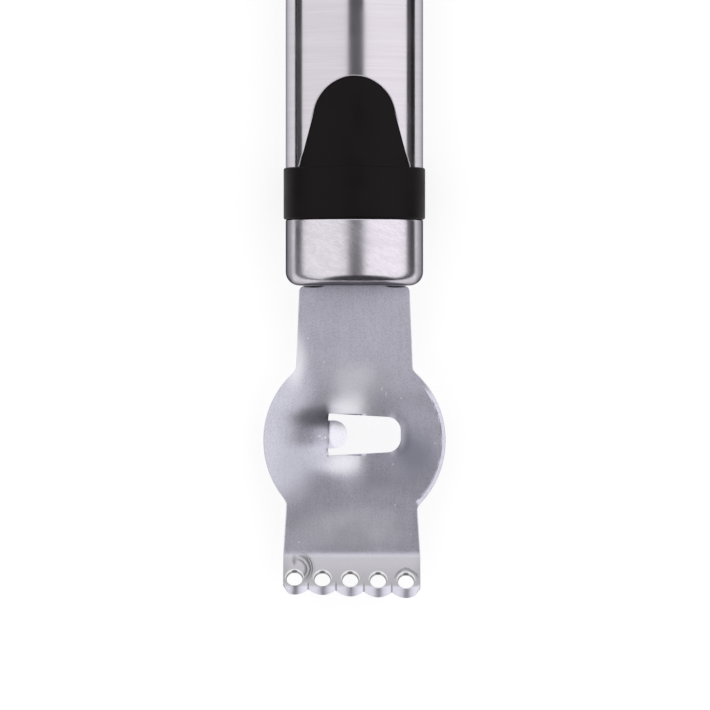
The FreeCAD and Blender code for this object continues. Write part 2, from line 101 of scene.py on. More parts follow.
def carve(piece, tool, operation="DIFFERENCE"):
    """Cut, join or cross the piece with the tool, and drop the tool."""
    cutter = piece.modifiers.new("carve", "BOOLEAN")
    cutter.operation = operation
    cutter.solver = "EXACT"
    cutter.object = tool
    graph = bpy.context.evaluated_depsgraph_get()
    carved = bpy.data.meshes.new_from_object(piece.evaluated_get(graph))
    piece.modifiers.clear()
    uncut, tool_mesh = piece.data, tool.data
    piece.data = carved
    carved.name = piece.name
    bpy.data.objects.remove(tool)
    bpy.data.meshes.remove(tool_mesh)
    bpy.data.meshes.remove(uncut)


def lay_down(piece):
    """Clean the mesh, move it to its place in metres, and shade it smooth up to an angle."""
    bm = bmesh.new()
    bm.from_mesh(piece.data)
    bmesh.ops.remove_doubles(bm, verts=bm.verts, dist=MERGE_WITHIN)
    bmesh.ops.dissolve_degenerate(bm, edges=bm.edges, dist=MERGE_WITHIN / 4)
    bmesh.ops.recalc_face_normals(bm, faces=bm.faces)
    bmesh.ops.transform(bm, matrix=LAY_DOWN, verts=bm.verts)
    for face in bm.faces:
        face.smooth = True
    open_edges = sum(1 for edge in bm.edges if len(edge.link_faces) != 2)
    bm.to_mesh(piece.data)
    bm.free()
    piece.data.set_sharp_from_angle(angle=SHARP_ANGLE)
    print("%s: %d faces, %d open edges" % (piece.name, len(piece.data.polygons), open_edges))


def stand_for(piece, slot, *nodes):
    """The piece takes the place of CAD nodes and rides with the root body."""
    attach(piece, "root")
    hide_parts(*nodes)

# %% [markdown]
# The handle's parts are all cut from the same oval, some a little larger and some smaller. A circle
# is created, squeezed to an oval, stood across Y and extruded along it. Rounding comes from the bevel
# operator on the ring of edges at one end. Its offset is the radius, and the number of segments says
# how finely it is drawn.

# %% Oval bars and their rounded ends
HANDLE_WIDTH = 20.0
HANDLE_DEPTH = 13.4
TUBE_WALL = 0.7
FIT_GAP = 0.1
OVAL_SIDES = 192
SAME_LEVEL = 1e-4


def pull_out(bm, faces, move):
    """Extrude faces and move what is new. Returns the new vertices."""
    grown = bmesh.ops.extrude_face_region(bm, geom=faces)
    moved = [item for item in grown["geom"] if isinstance(item, bmesh.types.BMVert)]
    bmesh.ops.translate(bm, vec=move, verts=moved)
    return moved


def oval_bar(proud, start, length):
    """Closed bar along Y. Its section is the handle's oval, grown by proud."""
    bm = bmesh.new()
    stand = Matrix.Translation((0, start, 0)) @ Matrix.Rotation(math.radians(-90), 4, "X")
    squeeze = Matrix.Diagonal((HANDLE_WIDTH / 2 + proud, HANDLE_DEPTH / 2 + proud, 1, 1))
    bmesh.ops.create_circle(bm, cap_ends=True, segments=OVAL_SIDES, radius=1.0, matrix=stand @ squeeze)
    pull_out(bm, bm.faces[:], (0, length, 0))
    bmesh.ops.recalc_face_normals(bm, faces=bm.faces)
    return bm


def round_edges(bm, edges, radius, segments):
    """Bevel edges to a round of the given radius."""
    bmesh.ops.bevel(
        bm, geom=edges, offset=radius, offset_type="OFFSET", segments=segments,
        profile=0.5, affect="EDGES", material=-1)


def round_rim(bm, level, radius, segments):
    """Round the ring of edges that lies at y = level."""
    rim = []
    for edge in bm.edges:
        at_level = all(abs(vert.co.y - level) < SAME_LEVEL for vert in edge.verts)
        if at_level and len(edge.link_faces) == 2 and edge.calc_face_angle() > 0.5:
            rim.append(edge)
    round_edges(bm, rim, radius, segments)


print("handle section: %.1f by %.1f mm" % (HANDLE_WIDTH, HANDLE_DEPTH))

# %% [markdown]
# Cuts that run straight through a piece are made with upright prisms: an outline of x and y corners,
# drawn as one face and pulled out along Z. Their upright edges can be rounded by the same bevel.

# %% Upright prisms
def rectangle(left, right, near, far):
    """Corners of a rectangle."""
    return [(left, near), (right, near), (right, far), (left, far)]


def upright_prism(corners, low, high):
    """Prism along Z over a list of x, y corners."""
    bm = bmesh.new()
    floor = bm.faces.new([bm.verts.new((x, y, low)) for x, y in corners])
    pull_out(bm, [floor], (0, 0, high - low))
    bmesh.ops.recalc_face_normals(bm, faces=bm.faces)
    return bm


def round_corners(bm, radius, segments, chosen):
    """Round the upright edges of a prism whose x and y pass the test."""
    upright = []
    for edge in bm.edges:
        a, b = (vert.co for vert in edge.verts)
        if (a.xy - b.xy).length < 1e-6 and chosen(a.x, a.y):
            upright.append(edge)
    round_edges(bm, upright, radius, segments)

# %% [markdown]
# Ferrule: a drawn steel cup at the front of the handle. Its front edge has a two millimetre round,
# and its back edge turns in a little where it meets the collar, which shows as a bright line.
# The cup is hollowed by a second, smaller bar, and a slot lets the blade's tang through.

# %% Ferrule
FERRULE_LENGTH = 9.6
FERRULE_FRONT_WALL = 0.9
FERRULE_ROUND = 2.0
FERRULE_TURN_IN = 0.28
HOLLOW_ROUND = 1.3
SLOT_GAP = 0.25
SLOT_FROM = -1.0
SLOT_TO = 2.0
SHEET = 0.9
TANG_WIDTH = 9.6

bar = oval_bar(0.0, 0.0, FERRULE_LENGTH)
round_rim(bar, 0.0, FERRULE_ROUND, 10)
round_rim(bar, FERRULE_LENGTH, FERRULE_TURN_IN, 4)
ferrule = as_object(bar, "ferrule_cup")
hollow = oval_bar(-TUBE_WALL, FERRULE_FRONT_WALL, FERRULE_LENGTH)
round_rim(hollow, FERRULE_FRONT_WALL, HOLLOW_ROUND, 6)
carve(ferrule, as_object(hollow, "ferrule_hollow"))
half_width = TANG_WIDTH / 2 + SLOT_GAP
half_height = SHEET / 2 + SLOT_GAP
slot = upright_prism(rectangle(-half_width, half_width, SLOT_FROM, SLOT_TO), -half_height, half_height)
carve(ferrule, as_object(slot, "ferrule_slot"))
lay_down(ferrule)
stand_for(ferrule, "handle_steel", "ferrule")

# %% [markdown]
# Collar: one black moulding, a ring with a tongue that runs up the front of the handle.
# The tongue is the part of a slightly larger oval bar that lies inside an upright outline: two
# leaning sides and a round tip. The same outline, a hair larger, cuts the window in the steel tube.

# %% Outline of the tongue
COLLAR_LENGTH = 7.5
COLLAR_TOP = FERRULE_LENGTH + COLLAR_LENGTH
TONGUE_HEIGHT = 12.84
TONGUE_RADIUS = 5.72
TONGUE_LEAN = math.radians(15.0)
TONGUE_GAP = 0.12
TIP_STEPS = 40


def tongue_outline(gap):
    """Corners of the tongue's outline, grown by gap, from the right foot over the tip to the left."""
    foot = FERRULE_LENGTH + COLLAR_LENGTH / 2
    centre = COLLAR_TOP + TONGUE_HEIGHT - TONGUE_RADIUS
    radius = TONGUE_RADIUS + gap
    side_x = radius * math.cos(TONGUE_LEAN)
    side_y = centre + radius * math.sin(TONGUE_LEAN)
    foot_x = side_x + (side_y - foot) * math.tan(TONGUE_LEAN)
    corners = [(foot_x, foot)]
    for step in range(TIP_STEPS + 1):
        angle = TONGUE_LEAN + (math.pi - 2 * TONGUE_LEAN) * step / TIP_STEPS
        corners.append((radius * math.cos(angle), centre + radius * math.sin(angle)))
    corners.append((-foot_x, foot))
    return corners


print("tongue foot is %.1f mm wide" % (2 * tongue_outline(0.0)[0][0]))

# %% [markdown]
# Ring and tongue are separate bars at first. A Boolean crosses the tongue's bar with the outline,
# another joins it to the ring, and a third bores the whole moulding out. The ring stands prouder than
# the tongue, which leaves the fine step that shows between them.

# %% Collar
COLLAR_PROUD = 0.299
COLLAR_ROUND = 0.3
TONGUE_PROUD = 0.15
TONGUE_START = FERRULE_LENGTH + 0.5
CUT_HEIGHT = 20.0
CUT_PAST = 1.0
BORE_LENGTH = 25.0

ring = oval_bar(COLLAR_PROUD, FERRULE_LENGTH, COLLAR_LENGTH)
round_rim(ring, FERRULE_LENGTH, COLLAR_ROUND, 4)
round_rim(ring, COLLAR_TOP, COLLAR_ROUND, 4)
collar = as_object(ring, "collar_moulding")
tongue = as_object(oval_bar(TONGUE_PROUD, TONGUE_START, COLLAR_LENGTH + TONGUE_HEIGHT), "tongue_skin")
outline = upright_prism(tongue_outline(0.0), 0.0, CUT_HEIGHT)
carve(tongue, as_object(outline, "tongue_outline"), "INTERSECT")
carve(collar, tongue, "UNION")
bore = oval_bar(-TUBE_WALL, FERRULE_LENGTH - CUT_PAST, BORE_LENGTH)
carve(collar, as_object(bore, "collar_bore"))
lay_down(collar)
stand_for(collar, "collar_black", "collar")

# %% [markdown]
# Handle tube: a drawn oval tube. Long thin faces shade badly next to a cut, so the bar is sliced
# across every half millimetre along the window before the outline is cut out of it.
# The steel is turned in at the window's edge. On the real tool that edge catches the light as a
# hairline all round the tongue. Here it is a very thin bead that follows the same outline.

# %% Handle tube
TUBE_LENGTH = 113.6
TUBE_END = COLLAR_TOP + TUBE_LENGTH
SEAM_BREAK = 0.12
FINE_SLICE = 0.5
WIDE_SLICE = 7.0
WINDOW_REACH = 15.0
BEAD = 0.13
BEAD_SUNK = 0.4


def slice_across(bm, levels):
    """Extra rings of edges across Y, one at each level."""
    for level in levels:
        bmesh.ops.bisect_plane(
            bm, geom=bm.verts[:] + bm.edges[:] + bm.faces[:], plane_co=(0, level, 0), plane_no=(0, 1, 0))


def bead_path(outline):
    """The outline's upper part, followed on the surface of the oval."""
    points = []
    for x, y in outline:
        if y < COLLAR_TOP:
            start = outline[1] if x > 0 else outline[-2]
            share = (COLLAR_TOP - y) / (start[1] - y)
            x, y = x + (start[0] - x) * share, COLLAR_TOP
        z = HANDLE_DEPTH / 2 * math.sqrt(1 - (2 * x / HANDLE_WIDTH) ** 2)
        points.append((x, y, z - BEAD_SUNK * BEAD))
    return points


def bead_along(points, radius, name):
    """Thin closed rod along points, made from a curve."""
    curve = bpy.data.curves.new(name, "CURVE")
    curve.dimensions = "3D"
    curve.bevel_depth = radius
    curve.bevel_resolution = 3
    curve.use_fill_caps = True
    spline = curve.splines.new("POLY")
    spline.points.add(len(points) - 1)
    for point, place in zip(spline.points, points):
        point.co = (*place, 1.0)
    rod = bpy.data.objects.new(name, curve)
    bpy.context.scene.collection.objects.link(rod)
    mesh = bpy.data.meshes.new_from_object(rod.evaluated_get(bpy.context.evaluated_depsgraph_get()))
    bpy.data.objects.remove(rod)
    bpy.data.curves.remove(curve)
    return mesh


bar = oval_bar(0.0, COLLAR_TOP, TUBE_LENGTH)
round_rim(bar, TUBE_END, SEAM_BREAK, 3)
slice_across(bar, [COLLAR_TOP + FINE_SLICE * step for step in range(1, 30)])
slice_across(bar, [COLLAR_TOP + WINDOW_REACH + WIDE_SLICE * step for step in range(1, 14)])
tube = as_object(bar, "handle_shell")
bore = oval_bar(-TUBE_WALL, COLLAR_TOP - CUT_PAST, TUBE_LENGTH + 2 * CUT_PAST)
carve(tube, as_object(bore, "tube_bore"))
carve(tube, as_object(upright_prism(tongue_outline(TONGUE_GAP), 0.0, CUT_HEIGHT), "tube_window"))
bead = bead_along(bead_path(tongue_outline(TONGUE_GAP + BEAD / 2)), BEAD, "window_bead")
joined = bmesh.new()
joined.from_mesh(tube.data)
joined.from_mesh(bead)
joined.to_mesh(tube.data)
joined.free()
bpy.data.meshes.remove(bead)
lay_down(tube)
stand_for(tube, "handle_steel", "handle_tube")

# %% [markdown]
# End cap: a plug that closes the tube. Its far edge is generously rounded and a hole through it lets
# the tool hang from a peg. Its own thin front edge is broken, so that a fine seam shows where the cap
# meets the tube. The spigot that holds it in the tube is a smaller oval bar, joined on.

# %% End cap
CAP_LENGTH = 14.0
CAP_SPIGOT = 9.0
SPIGOT_OVERLAP = 3.0
CAP_ROUND = 3.5
HANG_RADIUS = 3.0
HANG_FLARE = 1.7
HANG_REACH = 8.0
HANG_FROM_END = 8.0
ROUND_STEPS = 96
CAP_END = TUBE_END + CAP_LENGTH


def turned(profile, segments):
    """Closed body turned round Z from a profile of radius, height pairs."""
    bm = bmesh.new()
    verts = [bm.verts.new((radius, 0, height)) for radius, height in profile]
    edges = [bm.edges.new(pair) for pair in zip(verts, verts[1:])]
    bmesh.ops.spin(
        bm, geom=verts + edges, cent=(0, 0, 0), axis=(0, 0, 1), angle=math.tau,
        steps=segments, use_merge=True)
    bmesh.ops.remove_doubles(bm, verts=bm.verts, dist=1e-5)
    bmesh.ops.recalc_face_normals(bm, faces=bm.faces)
    return bm


bar = oval_bar(0.0, TUBE_END, CAP_LENGTH)
round_rim(bar, CAP_END, CAP_ROUND, 14)
round_rim(bar, TUBE_END, SEAM_BREAK, 3)
cap = as_object(bar, "end_plug")
spigot = oval_bar(-TUBE_WALL - FIT_GAP, TUBE_END - CAP_SPIGOT, CAP_SPIGOT + SPIGOT_OVERLAP)
carve(cap, as_object(spigot, "cap_spigot"), "UNION")
flared = HANG_RADIUS + HANG_FLARE
straight = HANG_REACH - HANG_FLARE
peg_hole = turned([
    (0.0, -HANG_REACH), (flared, -HANG_REACH), (HANG_RADIUS, -straight), (HANG_RADIUS, straight),
    (flared, HANG_REACH), (0.0, HANG_REACH)], ROUND_STEPS)
bmesh.ops.translate(peg_hole, vec=(0, CAP_END - HANG_FROM_END, 0), verts=peg_hole.verts)
carve(cap, as_object(peg_hole, "peg_hole"))
lay_down(cap)
stand_for(cap, "handle_steel", "end_cap")

# %% [markdown]
# Blade: one sheet, stamped to an outline, pressed into a dent beside the channel cutter's opening,
# bent at the head and ground at its end. The mesh goes through the same steps.
# It starts as a grid. Each row of the grid is stretched between the stamped edges, so that the
# outline is clean, and columns crowd together near the edges, where the steel curves most.
# First come the lines that say how wide the blade is at each height.

# %% Stamped outline of the blade
TANG_LENGTH = 28.0
SHOULDER_GAP = 0.06
SHOULDER_ROUND = 0.8
NECK_HALF_TOP = 8.0
NECK_HALF_LOW = 8.5
DISC_RADIUS = 13.27
DISC_AT = 22.55
WAIST_ROUND = 0.6
LOWER_HALF_TOP = 9.5
LOWER_HALF_END = 9.95
LOWER_SHIFT = 0.38
BEND_AT = 39.07
NECK_END = math.sqrt(DISC_RADIUS ** 2 - NECK_HALF_LOW ** 2) - DISC_AT
LOWER_START = -DISC_AT - math.sqrt(DISC_RADIUS ** 2 - LOWER_HALF_TOP ** 2)


def between(first, last, share):
    """Value part of the way from first to last."""
    return first + (last - first) * share


def spread(first, last, steps):
    """Even steps from first up to, but without, last."""
    return [between(first, last, step / steps) for step in range(steps)]


def rounded_larger(one, other, blend):
    """The larger of two values, with a soft passage between them."""
    near = max(blend - abs(one - other), 0.0) / blend
    return max(one, other) + near * near * blend / 4


def stamped_edge(side, y):
    """x of the left (-1) or right (1) edge at y."""
    if y >= -SHOULDER_GAP:
        return side * TANG_WIDTH / 2
    if y > -DISC_AT:
        share = (-SHOULDER_GAP - y) / (-SHOULDER_GAP - NECK_END)
        strip = between(NECK_HALF_TOP, NECK_HALF_LOW, min(share, 1.0))
        into_round = max(0.0, SHOULDER_ROUND + SHOULDER_GAP + y)
        strip -= SHOULDER_ROUND - math.sqrt(SHOULDER_ROUND ** 2 - into_round ** 2)
    else:
        share = min(max((LOWER_START - y) / (LOWER_START + BEND_AT), 0.0), 1.0)
        strip = between(LOWER_HALF_TOP, LOWER_HALF_END, share) - side * LOWER_SHIFT
    from_disc = DISC_RADIUS ** 2 - (y + DISC_AT) ** 2
    if from_disc <= 0.0:
        return side * strip
    return side * rounded_larger(strip, math.sqrt(from_disc), WAIST_ROUND)


print("blade is %.1f mm wide at its round part" % (2 * stamped_edge(1, -DISC_AT)))

# %% [markdown]
# Pressing gives the sheet its height. The dent runs in from the left and is deepest at the mouth of
# the opening. Past the mouth the sheet rises again and swells up a little, as pressed steel does.
# The left rim falls away a little, the closed end of the opening is rolled off, and a
# fine step runs round the right rim, where the stamping tool turned the edge down.

# %% Pressed shape of the blade
MOUTH_AT = 3.72
DENT_DEPTH = 1.85
DENT_LENGTH = 17.0
DENT_ABOVE = 7.6
DENT_BELOW = 8.0
DENT_CURVE = 4.0
DENT_EXIT = 5.0
EXIT_ROUND = 0.12
DENT_VALLEY = 0.55
SWELL_HEIGHT = 0.33
SWELL_TOP_AT = 2.5
SWELL_END_AT = 13.0
SWELL_BAND = 3.5
SWELL_FADE = 8.0
RIM_DROP = 1.35
OPENING_LENGTH = 10.47
OPENING_WIDTH = 6.14
OPENING_END = 4.95
OPENING_RISE = 0.86
OPENING_ROUND = 1.9
LIP_LENGTH = 2.7
LIP_WIDTH = 4.07
DROOP_FROM = 5.0
DROOP_MIDDLE = 3.5
DROOP_BAND = 7.0
DROOP_FADE = 7.0
ROLL_WIDTH = 1.6
ROLL_DEPTH = 0.12
STEP_WIDTH = 0.62
STEP_DEPTH = 0.11
STEP_SLOPE = 0.16


def ease(start, end, value):
    """0 before start, 1 after end, and smooth between."""
    part = min(1.0, max(0.0, (value - start) / (end - start)))
    return part * part * (3.0 - 2.0 * part)


def swell(part):
    """1 at 0, falling smoothly to 0 at 1 and beyond."""
    return math.cos(0.5 * math.pi * part) ** 2 if abs(part) < 1.0 else 0.0


def dent_depth(x, y):
    """Depth of the dent, with x and y from the middle of the round part."""
    fall = DENT_DEPTH * max(0.0, 1.0 + (x + MOUTH_AT) / DENT_LENGTH)
    from_valley = (y - DENT_VALLEY) / (DENT_ABOVE if y > DENT_VALLEY else DENT_BELOW)
    return fall * max(0.0, 1.0 - from_valley ** 2) ** DENT_CURVE


def rim_step(x, y):
    """How far the turned-down edge on the right falls below the sheet."""
    inward = max(DISC_RADIUS - math.hypot(x, y), 0.0)
    if x < 0.0 or inward > STEP_WIDTH:
        return 0.0
    angle = math.degrees(math.atan2(y, x))
    strength = ease(-45.5, -41.0, angle) * (1.0 - ease(22.0, 40.0, angle))
    wall = STEP_DEPTH * ease(STEP_WIDTH, STEP_WIDTH - 0.14, inward)
    return strength * (wall + STEP_SLOPE * (1.0 - inward / STEP_WIDTH))


def rolled_end(x, y):
    """How far the sheet is rolled down round the opening's closed end."""
    past_x = max(x - (OPENING_LENGTH - MOUTH_AT - OPENING_ROUND), 0.0)
    past_y = max(abs(y - OPENING_RISE) - (OPENING_END / 2 - OPENING_ROUND), 0.0)
    outward = max(math.hypot(past_x, past_y) - OPENING_ROUND, 0.0)
    sideways = ease(0.0, OPENING_ROUND, past_x)
    return ROLL_DEPTH * sideways * max(1.0 - outward / ROLL_WIDTH, 0.0) ** 2


def swollen(x, y):
    """How much of the swell beside the opening there is: 1 at its top."""
    along = ease(-MOUTH_AT, SWELL_TOP_AT, x) * (1.0 - ease(SWELL_TOP_AT, SWELL_END_AT, x))
    return along * swell(max(0.0, abs(y - OPENING_RISE) - SWELL_BAND) / SWELL_FADE)


def pressed_height(x, y):
    """Height of the sheet's middle, with x and y from the middle of the round part."""
    mouth = -MOUTH_AT
    way_out = max((x - mouth) / DENT_EXIT + EXIT_ROUND, 0.0)
    way_out = min(math.hypot(way_out, EXIT_ROUND) - EXIT_ROUND, 1.0)
    flat_again = way_out * (2.0 - way_out)
    off_lip = ease(LIP_WIDTH / 2, OPENING_WIDTH / 2, abs(y - OPENING_RISE))
    lip_tip = mouth + LIP_LENGTH
    past_lip = ease(lip_tip, lip_tip + LIP_LENGTH, x)
    free = max(off_lip, past_lip)
    height = -dent_depth(x, y) * (1.0 - flat_again * free) + SWELL_HEIGHT * free * swollen(x, y)
    droop = max(0.0, (-x - DROOP_FROM) / (DISC_RADIUS - DROOP_FROM))
    across = swell(max(0.0, abs(y - DROOP_MIDDLE) - DROOP_BAND) / DROOP_FADE)
    height -= RIM_DROP * droop ** 2 * across
    return height - rolled_end(x, y) - rim_step(x, y)


print("dent is %.2f mm deep at its mouth" % -pressed_height(-MOUTH_AT, DENT_VALLEY))

# %% [markdown]
# The head is bent up by rolling the end of the sheet round a cylinder: a point that lies past the
# start of the bend is carried round it by its own distance along the sheet.
# The edges of a stamped sheet are never knife sharp, so front and back are rounded by a tenth of a
# millimetre there. That thin round is what draws the light line along the blade's edge.

# %% Blade from grid to bent sheet
BEND_RADIUS = 3.0
HEAD_TURN = math.radians(27.0)
MIDDLE_RADIUS = BEND_RADIUS + SHEET / 2
BEND_START = MIDDLE_RADIUS * math.tan(HEAD_TURN / 2) - BEND_AT
BEND_STOP = BEND_START - MIDDLE_RADIUS * HEAD_TURN
HEAD_LENGTH = 7.0
HEAD_STOP = BEND_STOP - HEAD_LENGTH
EDGE_BREAK = 0.1
COLUMNS = 160
FINE_FROM = 0.78
FINE_WIDTH = 0.93
HAIR = 0.004

STATIONS = (
    spread(TANG_LENGTH, -SHOULDER_GAP, 14)
    + [-SHOULDER_GAP]
    + spread(-SHOULDER_GAP - HAIR, -SHOULDER_GAP - SHOULDER_ROUND, 8)
    + spread(-SHOULDER_GAP - SHOULDER_ROUND, NECK_END + 1.0, 28)
    + spread(NECK_END + 1.0, NECK_END - 1.0, 14)
    + spread(NECK_END - 1.0, LOWER_START + 1.0, 92)
    + spread(LOWER_START + 1.0, LOWER_START - 1.0, 14)
    + spread(LOWER_START - 1.0, BEND_START, 16)
    + spread(BEND_START, BEND_STOP, 12)
    + spread(BEND_STOP, HEAD_STOP, 20)
    + [HEAD_STOP])


def crowd(share):
    """Column position from 0 in the middle to 1 at the edge, with the last ones close together."""
    if share < FINE_FROM:
        return FINE_WIDTH * share / FINE_FROM
    return between(FINE_WIDTH, 1.0, (share - FINE_FROM) / (1.0 - FINE_FROM))


def on_sheet(across, row):
    """Place of a grid point on the front of the flat, pressed sheet."""
    y = STATIONS[row]
    left, right = stamped_edge(-1, y), stamped_edge(1, y)
    share = math.copysign(crowd(abs(across)), across)
    x = between(left, right, (share + 1) / 2)
    return Vector((x, y, pressed_height(x, y + DISC_AT) + SHEET / 2))


def edge_fall(point):
    """How far the broken edge has fallen at a point of the sheet."""
    inward = min(point.x - stamped_edge(-1, point.y), stamped_edge(1, point.y) - point.x)
    if inward >= EDGE_BREAK:
        return 0.0
    return EDGE_BREAK - math.sqrt(EDGE_BREAK ** 2 - (EDGE_BREAK - max(inward, 0.0)) ** 2)


def bent(point):
    """Place of a point of the flat sheet once the head is bent up."""
    over = BEND_START - point.y
    if over <= 0.0:
        return point
    angle = min(over / MIDDLE_RADIUS, HEAD_TURN)
    rest = over - angle * MIDDLE_RADIUS
    from_axis = MIDDLE_RADIUS - point.z
    y = BEND_START - from_axis * math.sin(angle) - rest * math.cos(angle)
    z = MIDDLE_RADIUS - from_axis * math.cos(angle) + rest * math.sin(angle)
    return Vector((point.x, y, z))


rows = len(STATIONS) - 1
bm = bmesh.new()
bmesh.ops.create_grid(bm, x_segments=COLUMNS, y_segments=rows, size=1.0)
for vert in bm.verts:
    vert.co = on_sheet(vert.co.x, round((1.0 - vert.co.y) / 2 * rows))
front = bm.verts[:]
back = pull_out(bm, bm.faces[:], (0, 0, -SHEET))
for vert in back:
    vert.co.z += edge_fall(vert.co)
for vert in front:
    vert.co.z -= edge_fall(vert.co)
for vert in bm.verts:
    vert.co = bent(vert.co.copy())
bmesh.ops.recalc_face_normals(bm, faces=bm.faces)
blade = as_object(bm, "blade_sheet")
print("blade grid: %d rows, %d columns" % (rows, COLUMNS))

# %% [markdown]
# Channel cutter: a piece of the sheet is punched out beside the dent, all but a round-nosed lip.
# The lip's front is ground to a thin cutting edge. The punch leaves the mouth a little ragged below
# the lip, so that edge of the punch gets a few small teeth, placed by a seeded random generator.

# %% Opening
PUNCH_HEIGHT = 8.0
RAG_LEFT = -0.14
RAG_RIGHT = 0.04
LIP_ROOTED = 1.0
mouth = -MOUTH_AT
rise = OPENING_RISE - DISC_AT
half_lip = LIP_WIDTH / 2

rag = random.Random(7)
ragged = []
for step in range(1, 9):
    down = step / 9 if step < 3 else 0.5 + step / 18
    x = mouth + rag.uniform(RAG_LEFT, RAG_RIGHT)
    ragged.append((x, between(rise + OPENING_WIDTH / 2, rise - OPENING_WIDTH / 2, down)))
punch = upright_prism(
    [(mouth, rise - OPENING_WIDTH / 2), (mouth + OPENING_LENGTH, rise - OPENING_END / 2),
     (mouth + OPENING_LENGTH, rise + OPENING_END / 2), (mouth, rise + OPENING_WIDTH / 2)] + ragged,
    -PUNCH_HEIGHT, PUNCH_HEIGHT)
round_corners(punch, OPENING_ROUND, 14, lambda x, y: x > 0)
punch = as_object(punch, "punch")
lip = upright_prism(
    rectangle(mouth - LIP_ROOTED, mouth + LIP_LENGTH, rise - half_lip, rise + half_lip),
    -PUNCH_HEIGHT - 1, PUNCH_HEIGHT + 1)
round_corners(lip, half_lip * 0.995, 16, lambda x, y: x > mouth)
carve(punch, as_object(lip, "lip_outline"))
carve(blade, punch)
print("opening is %.1f mm long, with a lip of %.1f mm" % (OPENING_LENGTH, LIP_LENGTH))

# %% [markdown]
# What the grinding takes off the lip is everything above a slope that starts at the lip's root. The
# slope follows the dent across the lip, so it is a grid too, and it is pulled up to a thick block.

# %% Ground lip
LIP_GRIND = math.radians(14.0)
LIP_ROOT = 0.15
GRIND_PAST = 0.5
GRIND_BESIDE = 0.35

grind = bmesh.new()
bmesh.ops.create_grid(grind, x_segments=16, y_segments=24, size=1.0)
for vert in grind.verts:
    x = between(mouth - GRIND_PAST, mouth + LIP_LENGTH + GRIND_PAST, (vert.co.x + 1) / 2)
    y = OPENING_RISE + vert.co.y * (half_lip + GRIND_BESIDE)
    z = SHEET / 2 - dent_depth(x, y) - (x - mouth - LIP_ROOT) * math.tan(LIP_GRIND)
    vert.co = (x, y - DISC_AT, z)
pull_out(grind, grind.faces[:], (0, 0, PUNCH_HEIGHT))
bmesh.ops.recalc_face_normals(grind, faces=grind.faces)
carve(blade, as_object(grind, "grinding"))

# %% [markdown]
# The end of the head is ground from behind along a leaning round under each zest hole, which leaves
# the scalloped edge. What the wheel takes away is a block below the row of holes, less those rounds.
# The two outer corners are ground off. The head has its own flat frame, with the row of holes along X
# and the sheet's middle at height 0, and one matrix lays that frame on the bent head.

# %% Ground end of the head
HOLE_COUNT = 5
HOLE_PITCH = 4.04
CORNER_WIDTH = 0.9
CORNER_HEIGHT = 1.35
CORNER_BELOW = 0.9
GRIND_ANGLE = math.radians(49.2)
SCALLOP_RADIUS = 4.0
SCALLOP_LAND = 1.37
SCALLOP_AT = SCALLOP_RADIUS / math.cos(GRIND_ANGLE) - SCALLOP_LAND - SHEET / 2 * math.tan(GRIND_ANGLE)
SCALLOP_TOP = 0.3
SCALLOP_LOWER = (-0.12, -0.16, -0.04, 0.0, 0.0)
WASTE_HALF = 16.0
WASTE_LENGTH = 8.0
ROW_AT = 4.15
ROW_SHIFT = 0.6
ROW_SKEW = math.radians(1.5)
HEAD_PLACE = (
    Matrix.Translation((-ROW_SHIFT, -BEND_AT, 0)) @ Matrix.Rotation(-HEAD_TURN, 4, "X")
    @ Matrix.Translation((0, -ROW_AT, 0)) @ Matrix.Rotation(-ROW_SKEW, 4, "Z"))
HOLE_PLACES = [HOLE_PITCH * (number - (HOLE_COUNT - 1) / 2) for number in range(HOLE_COUNT)]


def rod(radius, reach, segments):
    """Rod round Z that reaches as far down as up."""
    return turned([(0.0, -reach), (radius, -reach), (radius, reach), (0.0, reach)], segments)


waste = as_object(upright_prism(
    rectangle(-WASTE_HALF, WASTE_HALF, -WASTE_LENGTH, SCALLOP_TOP), -SHEET, SHEET), "ground_waste")
for x, lower in zip(HOLE_PLACES, SCALLOP_LOWER):
    scallop = rod(SCALLOP_RADIUS, 9.0, ROUND_STEPS)
    lean = Matrix.Translation((x, SCALLOP_AT - lower, 0)) @ Matrix.Rotation(-GRIND_ANGLE, 4, "X")
    bmesh.ops.transform(scallop, matrix=lean, verts=scallop.verts)
    carve(waste, as_object(scallop, "scallop"))
waste.data.transform(HEAD_PLACE)
carve(blade, waste)

for side in (-1, 1):
    edge = ROW_SHIFT - LOWER_SHIFT + side * LOWER_HALF_END
    inner, outer = edge - side * CORNER_WIDTH, edge + side * CORNER_WIDTH
    stop = -CORNER_BELOW - CORNER_HEIGHT
    outline = [
        (edge, -CORNER_BELOW), (inner, stop), (inner, 2 * stop), (outer, 2 * stop),
        (outer, -CORNER_BELOW)]
    corner = as_object(upright_prism(outline, -3.0, 3.0), "corner")
    corner.data.transform(HEAD_PLACE)
    carve(blade, corner)
print("head: %d scallops, %.2f mm apart" % (len(HOLE_PLACES), HOLE_PITCH))

# %% [markdown]
# The zest holes are drilled and flare a little at the front. The flare runs a hair past the sheet's
# face: a Boolean is unsure about a ring of vertices that lies exactly in the face that it cuts.
# The last hole, in the hidden tang, is where the core's peg holds the blade.

# %% Zest holes and tang hole
HOLE_RADIUS = 1.15
HOLE_FLARE = 0.1
FLARE_DEPTH = 0.5
FLARE_PAST = 0.05
DRILL_REACH = 2.0
TANG_HOLE_RADIUS = 2.0
TANG_HOLE_AT = 20.0

widest = HOLE_RADIUS + HOLE_FLARE * (1 + FLARE_PAST / FLARE_DEPTH)
for x in HOLE_PLACES:
    drill = turned([
        (0.0, -DRILL_REACH), (HOLE_RADIUS, -DRILL_REACH), (HOLE_RADIUS, SHEET / 2 - FLARE_DEPTH),
        (widest, SHEET / 2 + FLARE_PAST), (widest, DRILL_REACH), (0.0, DRILL_REACH)], ROUND_STEPS)
    bmesh.ops.transform(drill, matrix=HEAD_PLACE @ Matrix.Translation((x, 0, 0)), verts=drill.verts)
    carve(blade, as_object(drill, "drill"))

